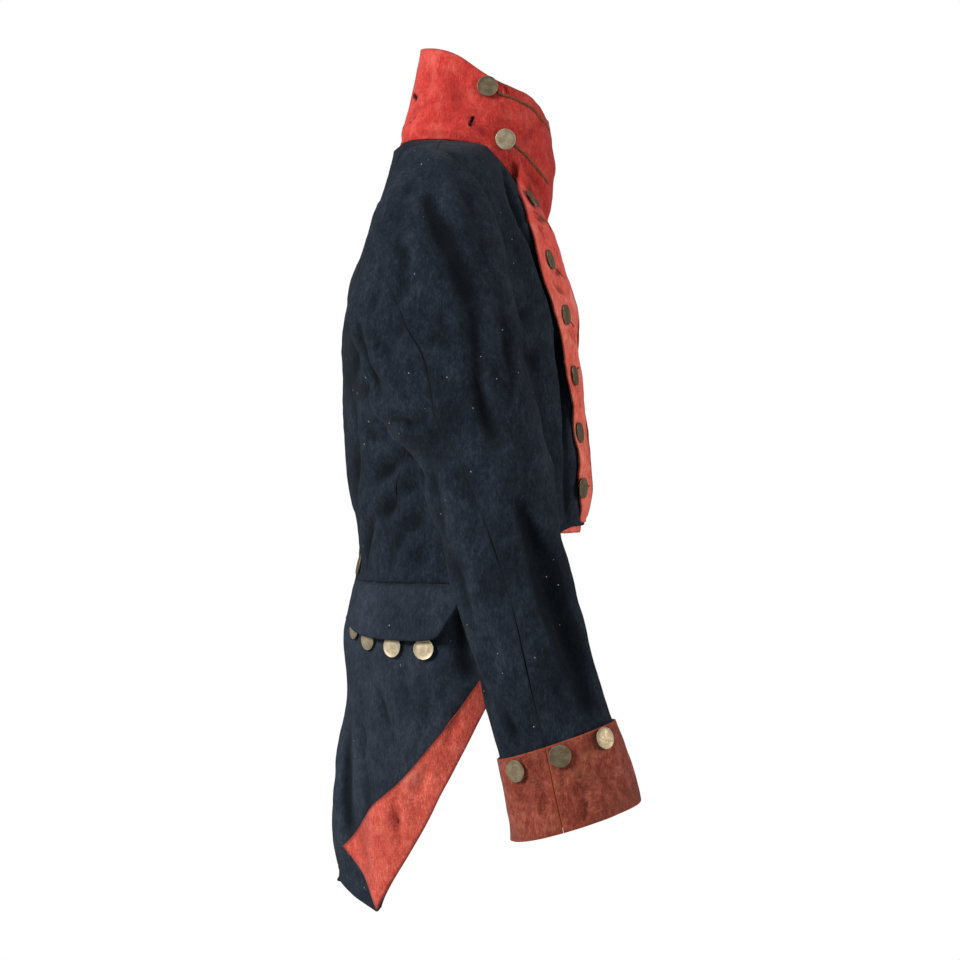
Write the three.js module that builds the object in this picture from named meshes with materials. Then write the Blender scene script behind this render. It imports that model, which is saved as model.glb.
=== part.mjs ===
// Military coatee of navy broadcloth with scarlet facings, as worn by a standing figure.
// Millimetres. +Z is up, the front of the coat faces -Y and the wearer's right side is -X.
// The origin is the middle of the neck, level with the shoulder seams.
import * as THREE from "three";

// Cloth and seams.
const CLOTH = 2;
const FACING = 2;
const SEAM_GAP = 0.4;
const LAID_ON = 0.9;
const CUFF_LAID_ON = 1;
const TURNBACK_LAID_ON = 1.6;
const TURNBACK_OVER = 1.2;

// Neck hole in plan, and the collar that stands on it.
const NECK_HALF = 67;
const NECK_DEPTH = 79;
const NECK_MIDDLE = -4;
const COLLAR_TOP_HALF = 60;
const COLLAR_TOP_DEPTH = 66;
const COLLAR_TOP_MIDDLE = -20;
const COLLAR_BULGE = 4;
const COLLAR_HOLLOW = 4.5;
const COLLAR_EASE = 1.5;
const COLLAR_SET_IN = 0.9;

// Armhole.
const PIT = -135;
const SHOULDER_TIP = -19;
const ARMHOLE_DEPTH = 0.15;
const ARMHOLE_GAP = 0.8;

// Waist, hem and front.
const WAIST = -429;
const FRONT_HEM = -375;
const HEM_TURN_START = 40;
const HEM_TURN_END = 57;
const SIDE_SEAM_TOP = 90;
const SIDE_SEAM_WAIST = 122;

// Facing inside the front hem, of which a strip shows below it.
const HEM_FACING_FROM = 6;
const HEM_FACING_TO = 40;
const HEM_FACING_INSIDE = 12;
const HEM_FACING_SHOWS = 7;

// Lapel.
const LAPEL_FRONT_TOP = -66.5;
const LAPEL_FRONT_FOOT = -354;
const LAPEL_PEAK = 21;
const LAPEL_PEAK_ANGLE = 37;
const LAPEL_FOOT_SAG = 9;
const LAPEL_PEAK_STAND = 1.3;
const LAPEL_PEAK_SHARE = 0.2;

// Pocket flap on the hip.
const FLAP_STAND = 6.5;
const FLAP_TOP_STAND = 0.9;

// Buttons: plain flat discs.
const BUTTON_RADIUS = 10.2;
const BUTTON_THICK = 1.7;
const BUTTON_CROWN = 0.5;
const BUTTON_GAP = 0.5;

// Level sections of the body from the shoulders to the foot of the tails: half width, the middle
// of the front and of the back, the line of the sides, and how square the front and back are.
const BODY = [
  { z: 4, half: 58, front: -22, back: 69, mid: 24, squareFront: 2.1, squareBack: 2.3 },
  { z: -2, half: 92, front: -28, back: 70, mid: 24, squareFront: 2.1, squareBack: 2.3 },
  { z: -8, half: 135, front: -33, back: 71, mid: 24.5, squareFront: 2.0, squareBack: 2.4 },
  { z: -19, half: 178, front: -40, back: 73, mid: 25, squareFront: 1.95, squareBack: 2.5 },
  { z: -34, half: 187, front: -52, back: 77, mid: 25, squareFront: 1.85, squareBack: 2.55 },
  { z: -50, half: 189, front: -65, back: 81, mid: 25, squareFront: 1.75, squareBack: 2.6 },
  { z: -66, half: 188, front: -77.5, back: 86, mid: 24, squareFront: 1.7, squareBack: 2.6 },
  { z: -85, half: 186, front: -85, back: 94, mid: 23, squareFront: 1.68, squareBack: 2.6 },
  { z: -108, half: 180, front: -92.5, back: 103, mid: 21, squareFront: 1.66, squareBack: 2.6 },
  { z: -135, half: 172, front: -102, back: 114, mid: 18, squareFront: 1.68, squareBack: 2.5 },
  { z: -162, half: 170, front: -107, back: 119, mid: 15, squareFront: 1.7, squareBack: 2.45 },
  { z: -200, half: 167.5, front: -110.5, back: 124, mid: 12, squareFront: 1.72, squareBack: 2.4 },
  { z: -245, half: 163.5, front: -116.5, back: 122, mid: 9, squareFront: 1.76, squareBack: 2.35 },
  { z: -290, half: 159, front: -120.5, back: 120, mid: 6, squareFront: 1.8, squareBack: 2.3 },
  { z: -335, half: 154.5, front: -127, back: 114, mid: 3, squareFront: 1.8, squareBack: 2.25 },
  { z: -352, half: 153, front: -124.6, back: 111, mid: 2, squareFront: 1.82, squareBack: 2.22 },
  { z: -376, half: 151.5, front: -119, back: 107, mid: 1, squareFront: 1.85, squareBack: 2.2 },
  { z: -402, half: 150, front: -117.5, back: 102, mid: 0, squareFront: 1.9, squareBack: 2.2 },
  { z: -429, half: 150, front: -116, back: 108, mid: 0, squareFront: 1.95, squareBack: 2.2 },
  { z: -472, half: 157, front: -114, back: 119, mid: 0, squareFront: 2, squareBack: 2.25 },
  { z: -512, half: 159, front: -108, back: 117, mid: 0, squareFront: 2, squareBack: 2.25 },
  { z: -554, half: 156, front: -102, back: 119, mid: 0, squareFront: 2, squareBack: 2.2 },
  { z: -590, half: 151, front: -98, back: 126, mid: 0, squareFront: 2, squareBack: 2.15 },
  { z: -624, half: 146, front: -95, back: 130, mid: 0, squareFront: 2, squareBack: 2.1 },
  { z: -680, half: 138, front: -92, back: 132, mid: 0, squareFront: 2, squareBack: 2.1 },
  { z: -712, half: 133, front: -90, back: 130, mid: 0, squareFront: 2, squareBack: 2.1 },
  { z: -760, half: 127, front: -88, back: 124, mid: 0, squareFront: 2, squareBack: 2.1 },
];

// Soft upright folds of the tails: where round the body, how wide in degrees, how deep, and the
// level where each starts.
const TAIL_FOLDS = [
  { at: 171, wide: 6, deep: -4, from: -470 },
  { at: 156, wide: 8, deep: 5, from: -490 },
  { at: 140, wide: 7, deep: -5, from: -480 },
  { at: 124, wide: 9, deep: 5, from: -500 },
  { at: 106, wide: 8, deep: -4, from: -520 },
];

// Sections of the sleeve from the armhole to the wrist: inner and outer edge as distance out and
// height, front and back edge, and how much higher the front of the section is than its middle.
const SLEEVE = [
  { row: 0, inX: 172.6, inZ: -135, outX: 178.6, outZ: -19, front: -25, back: 69, tilt: 0 },
  { row: 1, inX: 174, inZ: -138, outX: 203, outZ: -26, front: -30, back: 79, tilt: 0 },
  { row: 2, inX: 175, inZ: -143, outX: 230, outZ: -50, front: -34, back: 88, tilt: 0 },
  { row: 3, inX: 176.5, inZ: -150, outX: 252, outZ: -86, front: -39, back: 94, tilt: 0 },
  { row: 4, inX: 178, inZ: -161, outX: 267, outZ: -125, front: -43.5, back: 100, tilt: 0 },
  { row: 5, inX: 179, inZ: -176, outX: 277, outZ: -162, front: -49, back: 107, tilt: 0 },
  { row: 6, inX: 180, inZ: -195, outX: 282.5, outZ: -193, front: -54, back: 112, tilt: 0 },
  { row: 7, inX: 181, inZ: -213, outX: 285, outZ: -212, front: -57.5, back: 96, tilt: 1 },
  { row: 8, inX: 182, inZ: -239, outX: 286.5, outZ: -238, front: -62.5, back: 87, tilt: 2 },
  { row: 9, inX: 183, inZ: -262, outX: 287, outZ: -262, front: -68.5, back: 81, tilt: 4 },
  { row: 10, inX: 184, inZ: -280, outX: 287, outZ: -281, front: -71.5, back: 69, tilt: 7 },
  { row: 11, inX: 185, inZ: -299, outX: 286.5, outZ: -301, front: -75.5, back: 47, tilt: 9 },
  { row: 12, inX: 186.5, inZ: -333, outX: 286, outZ: -334, front: -82, back: 34, tilt: 12 },
  { row: 13, inX: 188.5, inZ: -375, outX: 284, outZ: -375, front: -89, back: 21.5, tilt: 14 },
  { row: 14, inX: 189.5, inZ: -420, outX: 282, outZ: -420, front: -96.5, back: 10, tilt: 15 },
  { row: 15, inX: 190, inZ: -465, outX: 280, outZ: -465, front: -109, back: -4.5, tilt: 16 },
  { row: 16, inX: 189.5, inZ: -510, outX: 278, outZ: -510, front: -121, back: -15.5, tilt: 17 },
  { row: 17, inX: 189, inZ: -546, outX: 276.5, outZ: -546, front: -131.5, back: -25, tilt: 18 },
  { row: 18, inX: 188, inZ: -569, outX: 276.5, outZ: -569, front: -138.5, back: -32, tilt: 18 },
  { row: 19, inX: 185.5, inZ: -641, outX: 278.5, outZ: -646, front: -161.5, back: -47, tilt: 18 },
];

// The two seams of the sleeve, in degrees round it: 0 is outermost and 90 the back. The hind
// seam runs from the back of the armhole to the outside of the elbow.
const SLEEVE_SEAMS = [
  { row: 0, hind: 80, fore: -144 },
  { row: 2, hind: 64, fore: -145 },
  { row: 3.5, hind: 49, fore: -145.5 },
  { row: 4.4, hind: 36, fore: -146 },
  { row: 5.2, hind: 22, fore: -146 },
  { row: 6.2, hind: 15, fore: -147 },
  { row: 8, hind: 14, fore: -149 },
  { row: 11, hind: 20, fore: -150 },
  { row: 14, hind: 6, fore: -150 },
  { row: 16, hind: 9, fore: -150 },
  { row: 19, hind: 13, fore: -150 },
];
const SLEEVE_SEAM_EDGE = 0.2;
const CUFF_EDGE = 0.3;
const CUFF_TOP_ROW = 18;
const CUFF_FOOT_ROW = 19;
const SLEEVE_END_ROW = 18.94;

// The large folds pressed into the sleeve by the bent elbow: place along it and round it, how far
// each runs, and how deep (outward is positive).
const SLEEVE_FOLDS = [
  { row: 5.5, round: 56, long: 0.6, wide: 34, deep: 4 },
  { row: 6.7, round: 62, long: 0.5, wide: 44, deep: -4 },
  { row: 7.6, round: 40, long: 0.6, wide: 40, deep: 3 },
  { row: 9.3, round: 70, long: 0.6, wide: 40, deep: 4 },
  { row: 11.1, round: 78, long: 0.5, wide: 48, deep: -4 },
  { row: 12.1, round: 60, long: 0.6, wide: 46, deep: 3.5 },
  { row: 10.6, round: -82, long: 0.7, wide: 30, deep: -4 },
  { row: 3.4, round: -38, long: 1.6, wide: 13, deep: -4.5 },
  { row: 7.5, round: -24, long: 2.6, wide: 12, deep: -4 },
];

// Rear edge of the lapel, seen from the side.
const LAPEL_EDGE = [
  { z: -33, y: -48 },
  { z: -60, y: -54 },
  { z: -87, y: -61.7 },
  { z: -137, y: -75.3 },
  { z: -185, y: -89.9 },
  { z: -230, y: -97 },
  { z: -279, y: -104.5 },
  { z: -318, y: -108 },
  { z: -355, y: -111.5 },
  { z: -370, y: -112 },
];

// Front fold of the tail, raw edge of its turnback and lower edge of both, seen from the side.
const TAIL_FOLD_EDGE = [
  { z: -435, y: -71.5 },
  { z: -549, y: -17 },
  { z: -579, y: -2.6 },
  { z: -623, y: 19.4 },
  { z: -661, y: 38.6 },
  { z: -686, y: 53 },
  { z: -710, y: 64.4 },
  { z: -742, y: 79.7 },
];
const TAIL_RAW_EDGE = [
  { z: -445, y: -62 },
  { z: -490, y: -36 },
  { z: -523, y: -11 },
  { z: -545, y: 2 },
  { z: -574, y: 24 },
  { z: -601, y: 46 },
  { z: -625, y: 65 },
  { z: -642, y: 84.5 },
  { z: -687, y: 115.5 },
];
const TAIL_HEM = [
  { z: -712, y: 126 },
  { z: -722, y: 119 },
  { z: -734, y: 112 },
  { z: -742, y: 104 },
  { z: -748, y: 87 },
];
const TURNBACK_FOOT = [
  { z: -687, y: 115.5 },
  { z: -703, y: 106.5 },
  { z: -722, y: 92 },
  { z: -744, y: 81 },
];

// Pocket flap: its sides round the body and its lower edge from the back forward.
const FLAP = [
  { at: 147, foot: -466 },
  { at: 138, foot: -475 },
  { at: 127, foot: -481 },
  { at: 114, foot: -482.5 },
  { at: 101, foot: -482.5 },
  { at: 97, foot: -472 },
  { at: 92, foot: -447 },
];

const rad = THREE.MathUtils.degToRad;
const { clamp, lerp, smoothstep } = THREE.MathUtils;

// Smooth value of one named column of a table at a place between its rows.
function smooth(rows, place, name, t) {
  const last = rows.length - 1;
  const way = Math.sign(rows[last][place] - rows[0][place]);
  let i = 0;
  while (i < last - 1 && (t - rows[i + 1][place]) * way > 0) i++;
  const a = rows[i];
  const b = rows[i + 1];
  const before = rows[Math.max(i - 1, 0)];
  const after = rows[Math.min(i + 2, last)];
  const span = b[place] - a[place];
  const k = clamp((t - a[place]) / span, 0, 1);
  const slopeA = ((b[name] - before[name]) / (b[place] - before[place])) * span;
  const slopeB = ((after[name] - a[name]) / (after[place] - a[place])) * span;
  const k2 = k * k;
  const k3 = k2 * k;
  return (
    (2 * k3 - 3 * k2 + 1) * a[name] +
    (k3 - 2 * k2 + k) * slopeA +
    (3 * k2 - 2 * k3) * b[name] +
    (k3 - k2) * slopeB
  );
}

// Body surface at an angle round it (0 front, 90 side, 180 back) and a height.
function bodySection(z) {
  return {
    half: smooth(BODY, "z", "half", z),
    mid: smooth(BODY, "z", "mid", z),
    front: smooth(BODY, "z", "front", z),
    back: smooth(BODY, "z", "back", z),
    squareFront: smooth(BODY, "z", "squareFront", z),
    squareBack: smooth(BODY, "z", "squareBack", z),
  };
}

function tailFold(angle, z) {
  let push = 0;
  for (const fold of TAIL_FOLDS) {
    const round = (angle - fold.at) / fold.wide;
    push += fold.deep * Math.exp(-round * round) * smoothstep(fold.from - z, 0, 170);
  }
  return push;
}

function body(angle, z) {
  const s = bodySection(z);
  const c = Math.cos(rad(angle));
  const depth = c > 0 ? s.mid - s.front : s.back - s.mid;
  const n = c > 0 ? s.squareFront : s.squareBack;
  const across = Math.abs(Math.sin(rad(angle))) / s.half;
  const r = (across ** n + (Math.abs(c) / depth) ** n) ** (-1 / n) + tailFold(angle, z);
  return new THREE.Vector3(r * Math.sin(rad(angle)), s.mid - r * c, z);
}

// Angle round the body of the point at a given distance out, and of the point seen at y.
function angleAtOut(x, z, front) {
  const s = bodySection(z);
  const n = front ? s.squareFront : s.squareBack;
  const depth = front ? s.mid - s.front : s.back - s.mid;
  const y = depth * Math.max(0, 1 - (x / s.half) ** n) ** (1 / n);
  return THREE.MathUtils.radToDeg(Math.atan2(x, front ? y : -y));
}

function angleAtSide(y, z) {
  const s = bodySection(z);
  const front = y < s.mid;
  const n = front ? s.squareFront : s.squareBack;
  const depth = front ? s.mid - s.front : s.back - s.mid;
  const off = Math.min(Math.abs(y - s.mid) / depth, 1);
  const x = s.half * (1 - off ** n) ** (1 / n);
  return THREE.MathUtils.radToDeg(Math.atan2(x, s.mid - y));
}

// Neckline: the oval neck hole dropped on to the shoulders.
function neck(round) {
  const x = NECK_HALF * Math.sin(rad(round));
  const y = NECK_MIDDLE - NECK_DEPTH * Math.cos(rad(round));
  let low = -110;
  let high = 4;
  for (let i = 0; i < 40; i++) {
    const z = (low + high) / 2;
    const s = bodySection(z);
    const n = y < s.mid ? s.squareFront : s.squareBack;
    const depth = y < s.mid ? s.mid - s.front : s.back - s.mid;
    const outside = (x / s.half) ** n + (Math.abs(y - s.mid) / depth) ** n > 1;
    if (outside) high = z;
    else low = z;
  }
  const z = (low + high) / 2;
  const angle = THREE.MathUtils.radToDeg(Math.atan2(x, bodySection(z).mid - y));
  return { x, y, z, angle, round };
}
const NECKLINE = Array.from({ length: 73 }, (_, i) => neck(i * 2.5));
const SHOULDER_ROUND = smooth(NECKLINE, "angle", "round", 90);

// Armhole: how far round the body it lies at a height, on the front or on the back.
function armholeAngle(z, front) {
  const up = clamp((z - PIT) / (SHOULDER_TIP - PIT), 0, 1);
  const x = bodySection(z).half * (1 - ARMHOLE_DEPTH * Math.sin(Math.PI * up));
  return angleAtOut(x, z, front);
}

// Spaces places of a line on the body evenly along it.
function even(places) {
  const run = [0];
  for (let i = 1; i < places.length; i++) {
    const a = body(places[i - 1].angle, places[i - 1].z);
    run.push(run[i - 1] + a.distanceTo(body(places[i].angle, places[i].z)));
  }
  return (t) => {
    const want = t * run[run.length - 1];
    let i = 1;
    while (i < run.length - 1 && run[i] < want) i++;
    const k = (want - run[i - 1]) / Math.max(run[i] - run[i - 1], 1e-9);
    return {
      angle: lerp(places[i - 1].angle, places[i].angle, k),
      z: lerp(places[i - 1].z, places[i].z, k),
    };
  };
}

function series(count, make) {
  return Array.from({ length: count + 1 }, (_, i) => make(i / count));
}

// Closed cloth wall from a surface(u, v), between two distances out from it. A point inside the
// form tells which way is out.
function wall(surface, columns, rows, inner, outer, inside, side, places = {}) {
  const step = 1e-3;
  const us = series(columns, (t) => t);
  const vs = places.v || series(rows, (t) => t);
  const normalAt = (u, v) => {
    const across = surface(Math.min(u + step, 1), v).sub(surface(Math.max(u - step, 0), v));
    const along = surface(u, Math.min(v + step, 1)).sub(surface(u, Math.max(v - step, 0)));
    const n = across.cross(along).normalize();
    if (places.square) places.square(n, u, v);
    return n.normalize();
  };
  const middle = surface(0.5, 0.5);
  const way = Math.sign(normalAt(0.5, 0.5).dot(middle.sub(inside)));
  const points = [];
  for (const out of [outer, inner]) {
    for (const v of vs) {
      for (const u of us) {
        const n = normalAt(u, v).multiplyScalar(way * (typeof out === "function" ? out(u, v) : out));
        const p = surface(u, v).add(n);
        points.push(side * p.x, p.y, p.z);
      }
    }
  }
  const wide = us.length;
  const layer = wide * vs.length;
  const faces = [];
  const quad = (a, b, c, d) => faces.push(a, b, c, a, c, d);
  for (let r = 0; r < vs.length - 1; r++) {
    for (let c = 0; c < wide - 1; c++) {
      const a = r * wide + c;
      quad(a, a + 1, a + wide + 1, a + wide);
      quad(layer + a, layer + a + wide, layer + a + wide + 1, layer + a + 1);
    }
  }
  for (let c = 0; c < wide - 1; c++) {
    const top = (vs.length - 1) * wide + c;
    quad(c, layer + c, layer + c + 1, c + 1);
    quad(top, top + 1, layer + top + 1, layer + top);
  }
  for (let r = 0; r < vs.length - 1; r++) {
    const left = r * wide;
    const right = left + wide - 1;
    quad(left, left + wide, layer + left + wide, layer + left);
    quad(right, layer + right, layer + right + wide, right + wide);
  }
  return closed(points, faces);
}

// Turns the faces outward when the volume comes out negative.
function closed(points, faces) {
  const p = (i) => new THREE.Vector3(points[3 * i], points[3 * i + 1], points[3 * i + 2]);
  let volume = 0;
  for (let i = 0; i < faces.length; i += 3) {
    volume += p(faces[i]).dot(p(faces[i + 1]).cross(p(faces[i + 2])));
  }
  if (volume < 0) faces.reverse();
  const geometry = new THREE.BufferGeometry();
  geometry.setAttribute("position", new THREE.Float32BufferAttribute(points, 3));
  geometry.setIndex(faces);
  geometry.computeVertexNormals();
  return geometry;
}

const NAVY = { color: 0x1b1f2e, roughness: 0.95, metalness: 0 };
const SCARLET = { color: 0xa8281c, roughness: 0.95, metalness: 0 };
const FADED = { color: 0xa43a20, roughness: 0.95, metalness: 0 };
const METAL = { color: 0x8a7c5c, roughness: 0.5, metalness: 1 };
const coatee = new THREE.Group();
coatee.name = "coatee";

function add(name, geometry, look) {
  const mesh = new THREE.Mesh(geometry, new THREE.MeshStandardMaterial(look));
  mesh.name = name;
  coatee.add(mesh);
}

// Front: from the centre edge to the side seam, up to the neckline, armhole and shoulder seam.
const PIT_SHARE = 0.52;
const frontNeck = NECKLINE.filter((n) => n.round < SHOULDER_ROUND);
const backNeck = NECKLINE.filter((n) => n.round > SHOULDER_ROUND).reverse();
const shoulderNeck = neck(SHOULDER_ROUND);
const frontInner = even([
  ...series(12, (t) => ({ angle: 0, z: lerp(PIT, frontNeck[0].z, t) })),
  ...frontNeck.slice(1),
  { angle: 90, z: shoulderNeck.z },
]);
const backInner = even([
  ...series(12, (t) => ({ angle: 180, z: lerp(PIT, backNeck[0].z, t) })),
  ...backNeck.slice(1),
  { angle: 90, z: shoulderNeck.z },
]);

function armhole(t, front) {
  const z = lerp(PIT, SHOULDER_TIP, (1 - Math.cos(Math.PI * t)) / 2);
  return { angle: t <= 0 || t >= 1 ? 90 : armholeAngle(z, front), z };
}

function sideSeam(z) {
  return lerp(SIDE_SEAM_TOP, SIDE_SEAM_WAIST, smoothstep(PIT - z, 0, PIT - WAIST));
}

function frontHem(angle) {
  return lerp(FRONT_HEM, WAIST, smoothstep(angle, HEM_TURN_START, HEM_TURN_END));
}

function gapAngle(z, gap) {
  return THREE.MathUtils.radToDeg(gap / bodySection(z).half);
}

function frontSurface(u, v) {
  if (v < PIT_SHARE) {
    const rough = u * SIDE_SEAM_WAIST;
    const z = lerp(frontHem(rough), PIT, v / PIT_SHARE);
    const edge = gapAngle(z, SEAM_GAP / 2);
    return body(lerp(edge, sideSeam(z) - edge, u), z);
  }
  const t = (v - PIT_SHARE) / (1 - PIT_SHARE);
  const inner = frontInner(t);
  const outer = armhole(t, true);
  const z = lerp(inner.z, outer.z, u);
  const edge = gapAngle(z, SEAM_GAP / 2);
  const angle = clamp(lerp(inner.angle, outer.angle, u), edge, 90 - edge * (t > 0.999 || u > 0.999));
  return body(angle, z);
}

function backSurface(u, v) {
  if (v < PIT_SHARE) {
    const z = lerp(WAIST, PIT, v / PIT_SHARE);
    const edge = gapAngle(z, SEAM_GAP / 2);
    return body(lerp(180 - edge, sideSeam(z) + edge, u), z);
  }
  const t = (v - PIT_SHARE) / (1 - PIT_SHARE);
  const inner = backInner(t);
  const outer = armhole(t, false);
  const z = lerp(inner.z, outer.z, u);
  const edge = gapAngle(z, SEAM_GAP / 2);
  const angle = clamp(lerp(inner.angle, outer.angle, u), 90 + edge * (t > 0.999 || u > 0.999), 180 - edge);
  return body(angle, z);
}

const panelRows = [
  ...series(10, (t) => t * PIT_SHARE),
  ...series(10, (t) => PIT_SHARE + t * (1 - PIT_SHARE)).slice(1),
];

// At the centre edges and the shoulder seam the two sides meet square.
function squareEdges(n, u, v) {
  if (u < 1e-6 && v < 0.7) n.x = 0;
  if (v > 1 - 1e-6) n.y = 0;
}
const panel = { v: panelRows, square: squareEdges };
const chest = new THREE.Vector3(0, 0, -200);

// Height of the collar's top edge round the neck, from the front, 0, to the back, 180.
const COLLAR_TOP = [
  { round: 0, z: 25 },
  { round: 15, z: 28 },
  { round: 30, z: 37.5 },
  { round: 40, z: 44.5 },
  { round: 50, z: 50 },
  { round: 60, z: 53.5 },
  { round: 70, z: 57 },
  { round: 80, z: 62 },
  { round: 90, z: 68.5 },
  { round: 100, z: 76.5 },
  { round: 110, z: 85 },
  { round: 125, z: 92.5 },
  { round: 150, z: 97.5 },
  { round: 180, z: 100 },
];

// Collar: a tall stand from the neckline to its top edge, a little fuller at the front and
// hollow behind.
function collarForm(round, up) {
  const base = neck(round);
  const s = Math.sin(rad(round));
  const c = Math.cos(rad(round));
  const full = COLLAR_BULGE * Math.max(0, c) + COLLAR_HOLLOW * Math.min(0, c) + COLLAR_EASE;
  const bulge = full * Math.sin(Math.PI * up);
  return new THREE.Vector3(
    lerp(base.x, COLLAR_TOP_HALF * s, up) + bulge * s,
    lerp(base.y, COLLAR_TOP_MIDDLE - COLLAR_TOP_DEPTH * c, up) - bulge * c,
    lerp(base.z, smooth(COLLAR_TOP, "round", "z", round), up),
  );
}

function collarSurface(u, v) {
  const round = lerp(0.4, 359.6, u);
  const mirrored = round > 180;
  const p = collarForm(mirrored ? 360 - round : round, lerp(0.012, 1, v));
  if (mirrored) p.x = -p.x;
  return p;
}
add(
  "collar",
  wall(collarSurface, 36, 6, -COLLAR_SET_IN - FACING, -COLLAR_SET_IN, new THREE.Vector3(0, -10, 30), 1),
  SCARLET,
);

// Facing of the front hem: a narrow scarlet strip inside the hem that shows below it.
function hemFacingSurface(u, v) {
  const angle = lerp(HEM_FACING_FROM, HEM_FACING_TO, u);
  return body(angle, frontHem(angle) + lerp(HEM_FACING_INSIDE, -HEM_FACING_SHOWS, v));
}

// Lapel: laid on the front, with its peak rising over the foot of the collar.
function onBodyOrCollar(angle, z) {
  const seamZ = smooth(NECKLINE, "angle", "z", angle);
  if (z <= seamZ) return body(angle, z);
  const round = smooth(NECKLINE, "angle", "round", angle);
  const height = smooth(COLLAR_TOP, "round", "z", round) - seamZ;
  return collarForm(round, (z - seamZ) / height);
}

function lapelSurface(u, v) {
  const peakZ = smooth(NECKLINE, "angle", "z", LAPEL_PEAK_ANGLE) + LAPEL_PEAK;
  const frontZ = lerp(LAPEL_FRONT_TOP, LAPEL_FRONT_FOOT, v);
  const rearZ = lerp(peakZ, LAPEL_EDGE[LAPEL_EDGE.length - 1].z, v);
  const start = LAPEL_EDGE[0].z;
  const rearAngle =
    rearZ > start ? LAPEL_PEAK_ANGLE : angleAtSide(smooth(LAPEL_EDGE, "z", "y", rearZ), rearZ);
  const angle = lerp(gapAngle(frontZ, 0.4), rearAngle, u);
  const top = smooth(NECKLINE, "angle", "z", u * LAPEL_PEAK_ANGLE) + LAPEL_PEAK * u * u;
  const sag = (top - lerp(LAPEL_FRONT_TOP, peakZ, u)) * (1 - v) ** 5;
  const foot = -LAPEL_FOOT_SAG * Math.sin(Math.PI * u) * v ** 6;
  return onBodyOrCollar(angle, lerp(frontZ, rearZ, u) + sag + foot);
}

const lapelStand = (u, v) =>
  LAID_ON + LAPEL_PEAK_STAND * Math.exp(-((v / LAPEL_PEAK_SHARE) ** 2));

// Tails: from the waist seam to the foot, split at the centre back.
function sideLine(rows) {
  return even(rows.map((r) => ({ angle: angleAtSide(r.y, r.z), z: r.z })));
}
const tailBack = even([
  ...series(14, (t) => {
    const z = lerp(WAIST - SEAM_GAP, TAIL_HEM[0].z, t);
    return { angle: 180 - gapAngle(z, 0.8), z };
  }),
  ...TAIL_HEM.slice(1).map((r) => ({ angle: angleAtSide(r.y, r.z), z: r.z })),
]);
const tailFront = sideLine([{ z: WAIST - SEAM_GAP, y: -74 }, ...TAIL_FOLD_EDGE]);

function tailSurface(u, v) {
  const back = tailBack(v);
  const front = tailFront(v);
  return body(lerp(back.angle, front.angle, u), lerp(back.z, front.z, u));
}

// Turnback: the front edge of the tail folded back on to it.
const turnRaw = sideLine(TAIL_RAW_EDGE);
const turnFold = sideLine(TAIL_FOLD_EDGE.map((r) => ({ z: r.z, y: r.y - TURNBACK_OVER })));
const turnFoot = sideLine(TURNBACK_FOOT);

function turnbackSurface(u, v) {
  const raw = turnRaw(v);
  const fold = turnFold(v);
  const foot = turnFoot(u);
  const share = v ** 8;
  const cornerAngle = lerp(turnRaw(1).angle, turnFold(1).angle, u);
  const cornerZ = lerp(turnRaw(1).z, turnFold(1).z, u);
  return body(
    lerp(raw.angle, fold.angle, u) + (foot.angle - cornerAngle) * share,
    lerp(raw.z, fold.z, u) + (foot.z - cornerZ) * share,
  );
}

// Pocket flap: set in the waist seam and standing off over the buttons below it.
function flapSurface(u, v) {
  const row = u * (FLAP.length - 1);
  const places = FLAP.map((f, i) => ({ ...f, i }));
  const at = smooth(places, "i", "at", row);
  const foot = smooth(places, "i", "foot", row);
  return body(at, lerp(WAIST - 2, foot, v));
}
const flapOut = (u, v) => lerp(FLAP_TOP_STAND, FLAP_STAND, v) + CLOTH;
const flapIn = (u, v) => lerp(FLAP_TOP_STAND, FLAP_STAND, v);

// Sleeve: sections fan round the armpit from the armhole and then follow the bent arm.
function armholePoint(round) {
  const front = round < 0 || round > 180;
  const t = (1 - Math.cos(rad(180 - Math.abs(round > 180 ? round - 360 : round)))) / 2;
  const z = lerp(PIT, SHOULDER_TIP, t);
  const flat = t < 1e-6 || t > 1 - 1e-6;
  return body(flat ? 90 : armholeAngle(z, front), z);
}

function sleeveSection(round, row) {
  const get = (name) => smooth(SLEEVE, "row", name, row);
  const n = 2.1;
  const c = Math.cos(rad(round));
  const s = Math.sin(rad(round));
  const k = (Math.abs(c) ** n + Math.abs(s) ** n) ** (-1 / n);
  const middleX = (get("inX") + get("outX")) / 2;
  const middleZ = (get("inZ") + get("outZ")) / 2;
  return new THREE.Vector3(
    middleX + ((get("outX") - get("inX")) / 2) * c * k,
    (get("front") + get("back")) / 2 + ((get("back") - get("front")) / 2) * s * k,
    middleZ + ((get("outZ") - get("inZ")) / 2) * c * k - get("tilt") * s * k,
  );
}

function sleeveFold(round, row) {
  let push = 0;
  for (const fold of SLEEVE_FOLDS) {
    let turn = round - fold.round;
    if (turn > 180) turn -= 360;
    if (turn < -180) turn += 360;
    const along = (row - fold.row) / fold.long;
    push += fold.deep * Math.exp(-((turn / fold.wide) ** 2) - along * along);
  }
  return push * smoothstep(row, 0.3, 2);
}

function sleeve(round, row) {
  const p = sleeveSection(round, row);
  const fade = (1 - smoothstep(row, 0, 3)) ** 1.5;
  if (fade > 0) {
    const shift = armholePoint(round).sub(sleeveSection(round, 0));
    p.addScaledVector(shift, fade);
    p.x += ARMHOLE_GAP * fade;
  }
  const middle = sleeveSection(0, row).add(sleeveSection(180, row)).multiplyScalar(0.5);
  const outward = p.clone().sub(middle).normalize();
  return p.addScaledVector(outward, sleeveFold(round, row));
}

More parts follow.
